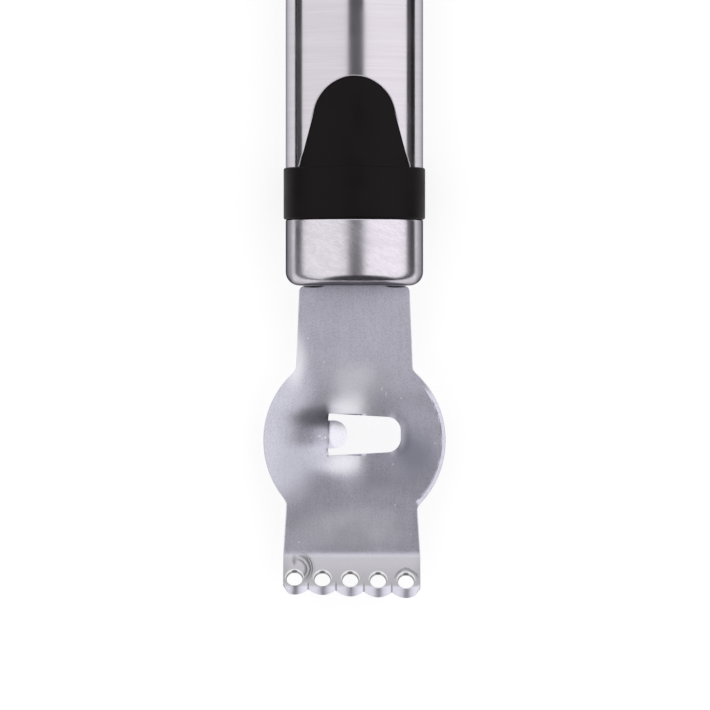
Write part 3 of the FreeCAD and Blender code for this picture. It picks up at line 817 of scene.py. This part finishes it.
tang_hole = rod(TANG_HOLE_RADIUS, 3.0, 48)
bmesh.ops.translate(tang_hole, vec=(0, TANG_HOLE_AT, 0), verts=tang_hole.verts)
carve(blade, as_object(tang_hole, "tang_hole"))
lay_down(blade)
stand_for(blade, "blade_steel", "blade")

# %% [markdown]
# Materials are built from small node groups, one for each effect, with named inputs and outputs.
# Each group reads a position in metres and gives back a mask or a height. The shader itself stays in
# the material, where its fixed values are set on its own sockets.
# A short helper keeps the wiring readable: it adds a node, sets its options and fills its sockets
# with either a value or another node's output.

# %% Helpers for nodes
def node(tree, kind, inputs=None, **options):
    """Add a node. inputs maps socket names or numbers to values or to other nodes' outputs."""
    made = tree.nodes.new(kind)
    for option, value in options.items():
        setattr(made, option, value)
    for socket, value in (inputs or {}).items():
        if isinstance(value, bpy.types.NodeSocket):
            tree.links.new(value, made.inputs[socket])
        else:
            made.inputs[socket].default_value = value
    return made


def calc(tree, operation, *values):
    """Output of a Math node."""
    return node(tree, "ShaderNodeMath", dict(enumerate(values)), operation=operation).outputs[0]


def soft_range(tree, value, start, end, low=0.0, high=1.0):
    """low before start, high after end, smooth between."""
    limits = {"Value": value, "From Min": start, "From Max": end, "To Min": low, "To Max": high}
    return node(tree, "ShaderNodeMapRange", limits, interpolation_type="SMOOTHSTEP").outputs["Result"]


def vector(tree, operation, *values):
    """Vector output of a Vector Math node."""
    return node(tree, "ShaderNodeVectorMath", dict(enumerate(values)), operation=operation).outputs[0]


def vector_length(tree, value):
    """Length of a vector."""
    return node(tree, "ShaderNodeVectorMath", {0: value}, operation="LENGTH").outputs["Value"]


def noise(tree, where, scale, detail, roughness=0.5):
    """Value of a noise texture."""
    settings = {"Vector": where, "Scale": scale, "Detail": detail, "Roughness": roughness}
    return node(tree, "ShaderNodeTexNoise", settings).outputs[0]


def blend_colour(tree, share, first, second):
    """Colour part of the way from first to second."""
    made = node(tree, "ShaderNodeMix", {"Factor": share, 6: first, 7: second}, data_type="RGBA")
    return made.outputs[2]


def start_group(name, inputs, outputs):
    """Empty node group with its sockets. Returns the tree, its input node and its output node."""
    tree = bpy.data.node_groups.new(name, "ShaderNodeTree")
    for label, kind, value in inputs:
        socket = tree.interface.new_socket(label, in_out="INPUT", socket_type="NodeSocket" + kind)
        if value is not None:
            socket.default_value = value
    for label in outputs:
        tree.interface.new_socket(label, in_out="OUTPUT", socket_type="NodeSocketFloat")
    return tree, tree.nodes.new("NodeGroupInput"), tree.nodes.new("NodeGroupOutput")

# %% [markdown]
# Hairlines: steel that was brushed on a belt has fine lines along the brushing. A noise texture does
# this when its coordinates are squeezed: many changes across the lines, few along them. Two layers
# of different width keep it from looking like a comb.

# %% Group: hairlines
hairlines, source, result = start_group(
    "hairlines", [("Vector", "Vector", None), ("Squeeze", "Vector", (100.0, 6000.0, 100.0))],
    ["Height", "Tone"])
squeezed = vector(hairlines, "MULTIPLY", source.outputs[0], source.outputs[1])
fine = noise(hairlines, squeezed, 1.0, 3.0, 0.6)
wide = noise(hairlines, squeezed, 0.23, 2.0)
height = calc(hairlines, "ADD", fine, calc(hairlines, "MULTIPLY", wide, 0.7))
tone = soft_range(hairlines, calc(hairlines, "MULTIPLY", height, 0.59), 0.36, 0.64)
hairlines.links.new(height, result.inputs["Height"])
hairlines.links.new(tone, result.inputs["Tone"])

# %% [markdown]
# Scratches and specks: handling leaves short bright scratches and tiny pits. Cells of a Voronoi
# texture give scattered points. Squeezing its coordinates turns the points into short strokes. Each
# cell has a random value of its own, which switches most of the strokes off.

# %% Group: strokes
strokes, source, result = start_group(
    "strokes", [("Vector", "Vector", None), ("Squeeze", "Vector", (900.0, 250.0, 900.0)),
                ("Width", "Float", 0.06), ("Rare", "Float", 0.6)],
    ["Mask"])
squeezed = vector(strokes, "MULTIPLY", source.outputs[0], source.outputs[1])
cells = node(strokes, "ShaderNodeTexVoronoi", {"Vector": squeezed, "Scale": 1.0})
away = calc(strokes, "DIVIDE", cells.outputs["Distance"], source.outputs["Width"])
near = soft_range(strokes, away, 1.0, 0.3)
chance = node(strokes, "ShaderNodeSeparateColor", {0: cells.outputs["Color"]}).outputs[0]
kept = calc(strokes, "GREATER_THAN", chance, source.outputs["Rare"])
strokes.links.new(calc(strokes, "MULTIPLY", near, kept), result.inputs["Mask"])

# %% [markdown]
# Smudges: slow, cloudy changes that make the gloss of a handled surface uneven.

# %% Group: smudges
smudges, source, result = start_group(
    "smudges", [("Vector", "Vector", None), ("Size", "Float", 120.0)], ["Mask"])
cloud = noise(smudges, source.outputs[0], source.outputs[1], 4.0, 0.55)
smudges.links.new(soft_range(smudges, cloud, 0.38, 0.66), result.inputs["Mask"])

# %% [markdown]
# Rubbed marks: some marks on this tool sit in one place, such as the smear of scuffs beside the first
# zest hole. Such a smear is part of a broad ring seen from the front: the distance from its middle,
# less its radius, is small there. Noise that changes only with that distance draws streaks that
# follow the smear, and a second noise makes them uneven.

# %% Group: rubbed ring
SEEN_FROM_FRONT = (1.0, 1.0, 0.0)

rubbed_ring, source, result = start_group(
    "rubbed_ring", [("Vector", "Vector", None), ("Middle", "Vector", (0.0, 0.0, 0.0)),
                    ("Radius", "Float", 0.001), ("Width", "Float", 0.0002),
                    ("Streaks", "Float", 1.0)],
    ["Mask"])
apart = vector(rubbed_ring, "SUBTRACT", source.outputs["Vector"], source.outputs["Middle"])
away = vector_length(rubbed_ring, vector(rubbed_ring, "MULTIPLY", apart, SEEN_FROM_FRONT))
wobble = noise(rubbed_ring, source.outputs["Vector"], 900.0, 3.0)
uneven = calc(rubbed_ring, "MULTIPLY", calc(rubbed_ring, "SUBTRACT", wobble, 0.5), 0.0006)
away = calc(rubbed_ring, "ADD", away, uneven)
off_line = calc(rubbed_ring, "ABSOLUTE", calc(rubbed_ring, "SUBTRACT", away, source.outputs["Radius"]))
line = soft_range(rubbed_ring, calc(rubbed_ring, "DIVIDE", off_line, source.outputs["Width"]), 1.0, 0.3)
fine_away = calc(rubbed_ring, "MULTIPLY", away, 3300.0)
streak = node(
    rubbed_ring, "ShaderNodeTexNoise", {"W": fine_away, "Scale": 1.0}, noise_dimensions="1D")
gaps = soft_range(rubbed_ring, streak.outputs[0], 0.42, 0.56, -1.0, 0.0)
broken = calc(rubbed_ring, "MULTIPLY_ADD", gaps, source.outputs["Streaks"], 1.0)
rubbed_ring.links.new(calc(rubbed_ring, "MULTIPLY", line, broken), result.inputs["Mask"])
print("node groups:", ", ".join(group.name for group in bpy.data.node_groups))

# %% [markdown]
# Every material starts the same way: its shader's fixed values are set, and a texture coordinate
# gives the place on the tool in metres. Local effects are tints. Each one blends the colour that the
# shader has so far towards another, where a mask is light, so the last tint lies on top.

# %% Helpers for materials
WHITE = (1.0, 1.0, 1.0, 1.0)


def use(tree, group, **inputs):
    """Place a node group in a material."""
    made = node(tree, "ShaderNodeGroup", node_tree=group)
    for label, value in inputs.items():
        socket = made.inputs[label.replace("_", " ").capitalize()]
        if isinstance(value, bpy.types.NodeSocket):
            tree.links.new(value, socket)
        else:
            socket.default_value = value
    return made.outputs


def start_material(name, **fixed):
    """Material with its shader's fixed values set. Returns material, tree, shader and position."""
    material = bpy.data.materials.new(name)
    material.use_nodes = True
    tree = material.node_tree
    shader = tree.nodes["Principled BSDF"]
    for label, value in fixed.items():
        shader.inputs[label.replace("_", " ")].default_value = value
    place = node(tree, "ShaderNodeTexCoord").outputs["Object"]
    return material, tree, shader, place


def on_tool(x, y):
    """Place in metres of a point that is given in millimetres from the ferrule's front."""
    return Vector((x * 0.001, FERRULE_FRONT.y + y * 0.001, 0.0))


def patch(tree, place, x, y, half_x, half_y, inner=0.4):
    """Soft oval mask round a point of the tool: 1 inside, 0 outside."""
    apart = vector(tree, "SUBTRACT", place, on_tool(x, y))
    scaled = vector(tree, "MULTIPLY", apart, (1000.0 / half_x, 1000.0 / half_y, 0.0))
    return soft_range(tree, vector_length(tree, scaled), 1.0, inner)


def tint(tree, shader, mask, strength, colour):
    """Blend the shader's colour towards another one where the mask is."""
    before = shader.inputs["Base Color"].links[0].from_socket
    share = calc(tree, "MULTIPLY", mask, strength)
    tree.links.new(blend_colour(tree, share, before, colour), shader.inputs["Base Color"])


def dress(piece, material):
    """Give the piece this material and no other."""
    piece.data.materials.clear()
    piece.data.materials.append(material)

# %% [markdown]
# Handle steel: bright, with fine hairlines that run round the handle. The lines are a bump, which
# spreads the reflections along the handle, and a slight change of tone. Scratches are a little
# rougher than the rest, and smudges make the gloss uneven.

# %% Brushed steel of the handle
def steel(name, colour, dark, roughness, squeeze, bump, scratch_squeeze,
          edge=0.3, grain=0.0, glint=0.0, turn=0.0, tone=0.5):
    """Brushed steel. squeeze and turn set the direction of its hairlines and tone their strength,
    edge its gloss at a glancing angle, grain how mottled it is and glint how bright its scratches are."""
    material, tree, shader, place = start_material(
        name, Metallic=1.0, Specular_Tint=(edge, edge, 1.1 * edge, 1.0))
    rotation = (0.0, 0.0, math.radians(turn))
    along = node(tree, "ShaderNodeMapping", {"Vector": place, "Rotation": rotation}).outputs[0]
    lines = use(tree, hairlines, vector=along, squeeze=squeeze)
    marks = use(tree, strokes, vector=along, squeeze=scratch_squeeze, width=0.07, rare=0.72)["Mask"]
    cloud = use(tree, smudges, vector=place, size=110.0)["Mask"]
    speckle = noise(tree, place, 4200.0, 2.0)
    toned = blend_colour(tree, calc(tree, "MULTIPLY", lines["Tone"], tone), colour, dark)
    deep = tuple(0.55 * channel for channel in dark[:3]) + (1.0,)
    mottled = calc(tree, "MULTIPLY", soft_range(tree, speckle, 0.42, 0.7), grain)
    toned = blend_colour(tree, mottled, toned, deep)
    toned = blend_colour(tree, calc(tree, "MULTIPLY", marks, glint), toned, (0.95, 0.95, 0.97, 1.0))
    rough = calc(tree, "ADD", roughness, calc(tree, "MULTIPLY", cloud, 0.05))
    rough = calc(tree, "ADD", rough, calc(tree, "MULTIPLY", marks, 0.2))
    relief = calc(tree, "SUBTRACT", lines["Height"], calc(tree, "MULTIPLY", marks, 1.5))
    bumped = node(tree, "ShaderNodeBump", {"Strength": 1.0, "Distance": bump, "Height": relief})
    tree.links.new(toned, shader.inputs["Base Color"])
    tree.links.new(rough, shader.inputs["Roughness"])
    tree.links.new(bumped.outputs[0], shader.inputs["Normal"])
    return material, tree, shader, place


handle_steel = steel(
    "handle_steel", (0.66, 0.625, 0.67, 1.0), (0.61, 0.575, 0.62, 1.0), 0.12,
    (120.0, 7000.0, 120.0), 0.0000007, (500.0, 2600.0, 500.0), tone=0.8)[0]
for piece in (tube, cap):
    dress(piece, handle_steel)
print("steel of the handle on:", tube.name, cap.name)

# %% [markdown]
# Ferrule steel: drawn, with coarser lines that lie at a slant and scratches that shine. Its two sides
# are painted greyer than its front as painted shade, and the left one is painted darker than the right one.

# %% Brushed steel of the ferrule
SIDE_SHADE_GREY = (0.2, 0.19, 0.21, 1.0)

ferrule_steel, tree, shader, place = steel(
    "ferrule_steel", (0.74, 0.70, 0.76, 1.0), (0.58, 0.55, 0.6, 1.0), 0.215,
    (1600.0, 5200.0, 1600.0), 0.0000048, (700.0, 2600.0, 0.0),
    edge=0.1, glint=0.8, turn=24.0, tone=0.6)
across = node(tree, "ShaderNodeSeparateXYZ", {0: place}).outputs["X"]
# Painted shade: both sides of the ferrule are greyed, and the left one more.
side_shade = soft_range(tree, calc(tree, "ABSOLUTE", across), 0.0087, 0.0094)
tint(tree, shader, side_shade, 0.52, SIDE_SHADE_GREY)
tint(tree, shader, soft_range(tree, across, -0.0086, -0.0093), 0.3, SIDE_SHADE_GREY)
dress(ferrule, ferrule_steel)

# %% [markdown]
# Blade steel: the sheet was rolled lengthways, so its grain runs along the blade, and it is duller
# than the handle, most of all up its neck. Fine scratches are scattered over it.

# %% Satin steel of the blade
def along_blade(tree, place, start, end):
    """0 before y = start and 1 past y = end, in millimetres from the ferrule's front."""
    y = node(tree, "ShaderNodeSeparateXYZ", {0: place}).outputs["Y"]
    return soft_range(tree, y, on_tool(0, start).y, on_tool(0, end).y)


blade_steel, tree, shader, place = steel(
    "blade_steel", (0.66, 0.65, 0.745, 1.0), (0.58, 0.57, 0.66, 1.0), 0.285,
    (4200.0, 420.0, 4200.0), 0.0000012, (1300.0, 500.0, 0.0), grain=0.3, glint=0.7)
satin = calc(tree, "MULTIPLY", along_blade(tree, place, -19, -6), 0.09)
rough = calc(tree, "ADD", shader.inputs["Roughness"].links[0].from_socket, satin)
tree.links.new(rough, shader.inputs["Roughness"])
dress(blade, blade_steel)

# %% [markdown]
# The sheet gets zones of painted light and shade, lighter or darker than the sheet. Each row of the table
# is one soft oval: x, y, half width, half height, how far in it is full, strength and colour.
# The first two are painted bluish shade right of the opening and below it. The next two are painted
# highlights on the sheet above the head and at the neck's foot, and the white one is a painted highlight
# on the lip. Then come a painted highlight along the left edge of the neck and painted shade on the lower
# left of the round part. The last three are painted highlights where the sheet turns up above and below
# the mouth of the opening.

# %% Painted light and shade on the blade
PAINTED_HIGHLIGHT = (0.95, 0.94, 1.0, 1.0)
PAINTED_PEAK_HIGHLIGHT = (0.98, 0.97, 1.0, 1.0)
LIGHT_AND_SHADE_ZONES = (
    (8.6, -24.3, 4.6, 5.8, 0.1, 0.8, (0.36, 0.365, 0.46, 1.0)),
    (3.5, -28.5, 8.0, 3.0, 0.1, 0.3, (0.42, 0.42, 0.52, 1.0)),
    (-0.5, -35.5, 11.5, 4.5, 0.3, 0.3, PAINTED_HIGHLIGHT),
    (0.0, -13.5, 6.5, 3.5, 0.1, 0.22, PAINTED_HIGHLIGHT),
    (-2.2, -21.7, 1.52, 2.4, 0.8, 0.4, WHITE),
    (-8.6, -10.5, 2.2, 6.0, 0.3, 0.75, PAINTED_HIGHLIGHT),
    (-8.5, -27.0, 5.5, 6.0, 0.2, 0.4, (0.45, 0.445, 0.52, 1.0)),
    (0.5, -14.6, 7.0, 4.5, 0.1, 0.35, PAINTED_HIGHLIGHT),
    (-0.6, -17.3, 4.6, 2.6, 0.1, 0.52, PAINTED_PEAK_HIGHLIGHT),
    (-1.5, -26.0, 4.2, 2.5, 0.1, 0.5, PAINTED_PEAK_HIGHLIGHT))

# Each zone is painted light or shade that stands in for how the light falls on the pressed sheet.
for x, y, half_x, half_y, inner, strength, colour in LIGHT_AND_SHADE_ZONES:
    tint(tree, shader, patch(tree, place, x, y, half_x, half_y, inner), strength, colour)
print("%d soft zones" % len(LIGHT_AND_SHADE_ZONES))

# %% [markdown]
# The head: its face is painted greyer than the sheet and darker towards its end, as painted shade, and its
# ground edge gets a painted highlight. Scuffs lie on it: a streaky smear beside the first hole, a short rub
# left of it, and a dark arc over the last hole. Both ends of the row are darker.

# %% Head and its scuffs
SCUFF = (0.11, 0.11, 0.11, 1.0)

upper, lower = along_blade(tree, place, -38.8, -39.6), along_blade(tree, place, -43.9, -43.4)
head_face = calc(tree, "MULTIPLY", upper, lower)
# Painted shade: the head's face is greyer, and darker still towards its end.
tint(tree, shader, head_face, 0.8, (0.62, 0.607, 0.64, 1.0))
end_shade = calc(tree, "MULTIPLY", along_blade(tree, place, -39.9, -43.0), head_face)
tint(tree, shader, end_shade, 0.32, (0.3, 0.295, 0.3, 1.0))
# Painted highlight along the ground edge.
tint(tree, shader, along_blade(tree, place, -43.3, -43.8), 0.36, (0.93, 0.91, 1.0, 1.0))

smear = use(tree, rubbed_ring, vector=place, middle=on_tool(-8.4, -41.15),
            radius=0.0019, width=0.00105, streaks=0.9)["Mask"]
smear = calc(tree, "MULTIPLY", smear, patch(tree, place, -7.1, -40.8, 2.0, 2.4))
fibres = use(tree, hairlines, vector=place, squeeze=(7000.0, 900.0, 900.0))["Tone"]
rub = calc(tree, "MULTIPLY", fibres, patch(tree, place, -8.7, -39.85, 0.5, 1.0, 0.3))
arc = use(tree, rubbed_ring, vector=place, middle=on_tool(7.5, -42.95),
          radius=0.00175, width=0.00022, streaks=0.0)["Mask"]
arc = calc(tree, "MULTIPLY", arc, along_blade(tree, place, -42.6, -42.0))
for mark, strength in ((smear, 0.85), (rub, 0.85), (arc, 0.5)):
    tint(tree, shader, mark, strength, SCUFF)
for x in (-10.4, 9.9):
    tint(tree, shader, patch(tree, place, x, -41.4, 1.7, 3.2, 0.1), 0.3, (0.33, 0.325, 0.34, 1.0))

# %% [markdown]
# The zest holes get painted highlights on their upper rims, painted shade on their walls and a painted
# dark point at the top, and the creases between the scallops get painted shade. Their places on the bent
# head come from the matrix that drilled them.

# %% Painted light and shade at the zest holes
for x in HOLE_PLACES:
    rim = HEAD_PLACE @ Vector((x, 0.0, SHEET / 2))
    upper_half = along_blade(tree, place, rim.y - 0.4, rim.y + 0.2)
    ring = patch(tree, place, rim.x, rim.y, 1.42, 1.28, 0.92)
    wall = patch(tree, place, rim.x, rim.y, 1.19, 0.96, 0.93)
    point = patch(tree, place, rim.x, rim.y + 0.86, 0.55, 0.32, 0.5)
    # Painted highlight on the upper rim, painted shade on the wall and a painted dark point at the top.
    tint(tree, shader, calc(tree, "MULTIPLY", ring, upper_half), 0.8, WHITE)
    tint(tree, shader, wall, 0.6, (0.14, 0.14, 0.15, 1.0))
    tint(tree, shader, point, 0.85, (0.12, 0.12, 0.13, 1.0))
for x in HOLE_PLACES[1:]:
    crease = HEAD_PLACE @ Vector((x - HOLE_PITCH / 2, -1.6, SHEET / 2))
    line = patch(tree, place, crease.x, crease.y, 0.16, 1.15, 0.5)
    # Painted shade in the crease between two scallops.
    tint(tree, shader, line, 0.6, (0.12, 0.12, 0.14, 1.0))

# %% [markdown]
# Small spots come last: painted glints on nicks, painted shade on the burr and along the mouth of the
# opening, and the painted shadow where the blade's two shoulders meet the ferrule.

# %% Painted glints, painted shade of the burr and painted shoulder shadows
# Painted glints where small nicks catch the light.
NICK_GLINTS = (
    (-4.42, -11.13, 0.14, 0.14), (4.6, -15.79, 0.12, 0.5), (4.0, -15.06, 0.12, 0.32),
    (6.78, -16.37, 0.14, 0.2), (-6.75, -7.64, 0.14, 0.18), (11.73, -22.92, 0.2, 0.12),
    (5.62, -25.97, 0.12, 0.22), (8.24, -36.16, 0.15, 0.15), (5.9, -31.94, 0.14, 0.24),
    (-8.06, -37.32, 0.2, 0.14), (-5.1, -21.95, 0.3, 0.12), (-4.25, -22.15, 0.2, 0.24),
    (-4.7, -22.3, 0.12, 0.12), (-6.3, -22.05, 0.12, 0.12), (-7.2, -21.7, 0.1, 0.1))
# Painted shade on the burr and along the mouth of the opening.
MOUTH_SHADE = (
    (-3.98, -23.9, 0.3, 0.5), (-3.9, -24.8, 0.25, 0.2), (-3.8, -22.7, 0.2, 0.9),
    (-3.8, -20.8, 0.2, 1.5), (-3.85, -18.9, 0.4, 0.9))
# Painted shadow where the shoulders meet the ferrule.
SHOULDERS = ((-6.0, -0.12, 1.9, 0.24), (6.1, -0.12, 1.9, 0.24))
SPOTS = (
    (NICK_GLINTS, 0.4, 0.85, WHITE), (MOUTH_SHADE, 0.1, 0.5, (0.1, 0.1, 0.105, 1.0)),
    (SHOULDERS, 0.6, 1.0, (0.02, 0.02, 0.03, 1.0)))

for spots, inner, strength, colour in SPOTS:
    for x, y, half_x, half_y in spots:
        tint(tree, shader, patch(tree, place, x, y, half_x, half_y, inner), strength, colour)
print("%d nodes in the blade's steel" % len(tree.nodes))

# %% [markdown]
# Collar and insert: moulded plastic. The black collar is very dark and only faintly glossy, with the
# fine even texture of a moulding. The insert inside the ferrule is the solid model's own node, which
# keeps its shape and only gets a finish.

# %% Moulded plastic
def moulded(name, colour, light, roughness, specular):
    """Dull moulded plastic with a fine grain."""
    material, tree, shader, place = start_material(name, Specular_IOR_Level=specular)
    grain = noise(tree, place, 5200.0, 3.0)
    cloud = use(tree, smudges, vector=place, size=160.0)["Mask"]
    tree.links.new(blend_colour(tree, cloud, colour, light), shader.inputs["Base Color"])
    rough = calc(tree, "ADD", roughness, calc(tree, "MULTIPLY", cloud, 0.12))
    tree.links.new(rough, shader.inputs["Roughness"])
    bumped = node(tree, "ShaderNodeBump", {"Strength": 0.6, "Distance": 0.00001, "Height": grain})
    tree.links.new(bumped.outputs[0], shader.inputs["Normal"])
    return material


dress(collar, moulded(
    "collar_black", (0.0058, 0.0036, 0.0044, 1.0), (0.0085, 0.0055, 0.0066, 1.0), 0.42, 0.12))
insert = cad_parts["tang_insert"]
insert.material_slots[0].material = moulded(
    "insert_plastic", (0.02, 0.02, 0.02, 1.0), (0.03, 0.03, 0.03, 1.0), 0.5, 0.3)

# %% [markdown]
# Polished metal shows what stands round it, so the studio matters as much as the steel. Two long
# softboxes hang left and right of the camera, with a dark gap between them where the camera is. That
# gap is the dark stripe down the middle of the handle. Below the softboxes the room is dark, which
# gives the two stripes near the sides. The far end of the room is light and the near end is dark.
# All this is painted on the world by direction: sideways is the angle from straight up towards the
# sides, and far is the angle towards the far end.

# %% Studio round the tool
world = bpy.data.worlds.new("studio")
bpy.context.scene.world = world
world.use_nodes = True
tree = world.node_tree
tree.nodes.clear()
axes = node(tree, "ShaderNodeSeparateXYZ", {0: node(tree, "ShaderNodeTexCoord").outputs["Generated"]})
sideways = calc(tree, "DEGREES", calc(tree, "ARCTAN2", axes.outputs["X"], axes.outputs["Z"]))
far = calc(tree, "DEGREES", calc(tree, "ARCSINE", axes.outputs["Y"]))
off_middle = calc(tree, "ABSOLUTE", calc(tree, "SUBTRACT", sideways, 1.9))
gap = soft_range(tree, off_middle, 7.8, 10.0)
gap = calc(tree, "MAXIMUM", gap, soft_range(tree, far, 12.0, 40.0))
skirt = soft_range(tree, calc(tree, "ABSOLUTE", sideways), 75.0, 77.0, 1.0, 0.08)
skirt = calc(tree, "MAXIMUM", skirt, soft_range(tree, far, 30.0, 50.0, 0.0, 0.85))
right_half = soft_range(tree, axes.outputs["X"], -0.1, 0.1)
slope = calc(tree, "ADD", calc(tree, "MULTIPLY", right_half, -0.2), 0.5)
wedge = calc(tree, "ADD", far, calc(tree, "MULTIPLY", off_middle, slope))
near_end = soft_range(tree, wedge, -23.0, -35.0)
boxes = blend_colour(tree, right_half, (1.05, 1.05, 1.05, 1.0), (1.2, 1.19, 1.21, 1.0))
far_dim = soft_range(tree, far, 36.0, 56.0)
boxes = blend_colour(tree, far_dim, boxes, (0.8, 0.8, 0.8, 1.0))
lit = blend_colour(tree, gap, (0.115, 0.115, 0.122, 1.0), boxes)
lit = blend_colour(tree, near_end, lit, (0.045, 0.045, 0.048, 1.0))
background = node(tree, "ShaderNodeBackground", {"Color": lit, "Strength": skirt})
tree.links.new(background.outputs[0], node(tree, "ShaderNodeOutputWorld").inputs["Surface"])

# %% [markdown]
# The table is one large pale plane. It is lit by the studio and keeps the tool's soft shadow. A little
# light of its own, seen by the camera and in reflections alike, lifts it to the white of the studio.

# %% Table
TABLE_HALF = 40.0
TABLE_GLOW = 0.75

bm = bmesh.new()
bmesh.ops.create_grid(bm, x_segments=1, y_segments=1, size=TABLE_HALF)
table = as_object(bm, "table")
table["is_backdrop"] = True
paper, tree, shader, place = start_material("table_paper", Roughness=0.9, Specular_IOR_Level=0.1)
shader.inputs["Base Color"].default_value = (0.35, 0.35, 0.35, 1.0)
rays = node(tree, "ShaderNodeLightPath").outputs
reflected = calc(tree, "MAXIMUM", rays["Is Glossy Ray"], rays["Is Transmission Ray"])
seen = calc(tree, "MAXIMUM", rays["Is Camera Ray"], reflected)
shader.inputs["Emission Color"].default_value = WHITE
tree.links.new(calc(tree, "MULTIPLY", seen, TABLE_GLOW), shader.inputs["Emission Strength"])
table.data.materials.append(paper)

# %% [markdown]
# Two low black cards stand beside the tool. A photographer puts such cards there so that shiny metal
# gets crisp dark lines along its sides. Only reflections see them: they are hidden from the camera
# and cast no shadow.

# %% Black cards
CARDS = {"card_left": (-0.085, 0.0105), "card_right": (0.055, 0.0125)}
CARD_HALF_LENGTH = 0.6

card_black = start_material(
    "card_black", Roughness=1.0, Specular_IOR_Level=0.0, Base_Color=(0.045, 0.045, 0.05, 1.0))[0]
for name, (x, height) in CARDS.items():
    bm = bmesh.new()
    upright = Matrix.Translation((x, 0, height / 2)) @ Matrix.Rotation(math.radians(90), 4, "Y")
    stretch = Matrix.Diagonal((height / 2, CARD_HALF_LENGTH, 1, 1))
    bmesh.ops.create_grid(bm, x_segments=1, y_segments=1, size=1.0, matrix=upright @ stretch)
    card = as_object(bm, name)
    card.data.materials.append(card_black)
    card.visible_camera = card.visible_diffuse = card.visible_transmission = card.visible_shadow = False
    card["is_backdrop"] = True

# %% [markdown]
# The camera looks straight down, from 0.6 m above the blade, with a long lens. The handle runs out of
# the picture at the top, as it does in the photograph.

# %% Camera and colour
camera_data = bpy.data.cameras.new("camera")
camera_data.lens = 209.1
camera_data.sensor_width = 36.0
camera_data.clip_start = 0.01
camera = bpy.data.objects.new("camera", camera_data)
camera.location = (0.00009, FERRULE_FRONT.y - 0.010107, 0.607)
bpy.context.scene.collection.objects.link(camera)
bpy.context.scene.camera = camera
bpy.context.scene.view_settings.view_transform = "Standard"

# %% [markdown]
# Last, the box of the finished scene is printed beside that of the solid model. The two should agree:
# the pieces made here are finer, not larger.

# %% Print the boxes and finish
boxes = {"cad": [list(corner) for corner in solid_box], "scene": [list(corner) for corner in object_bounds()]}
print(boxes)
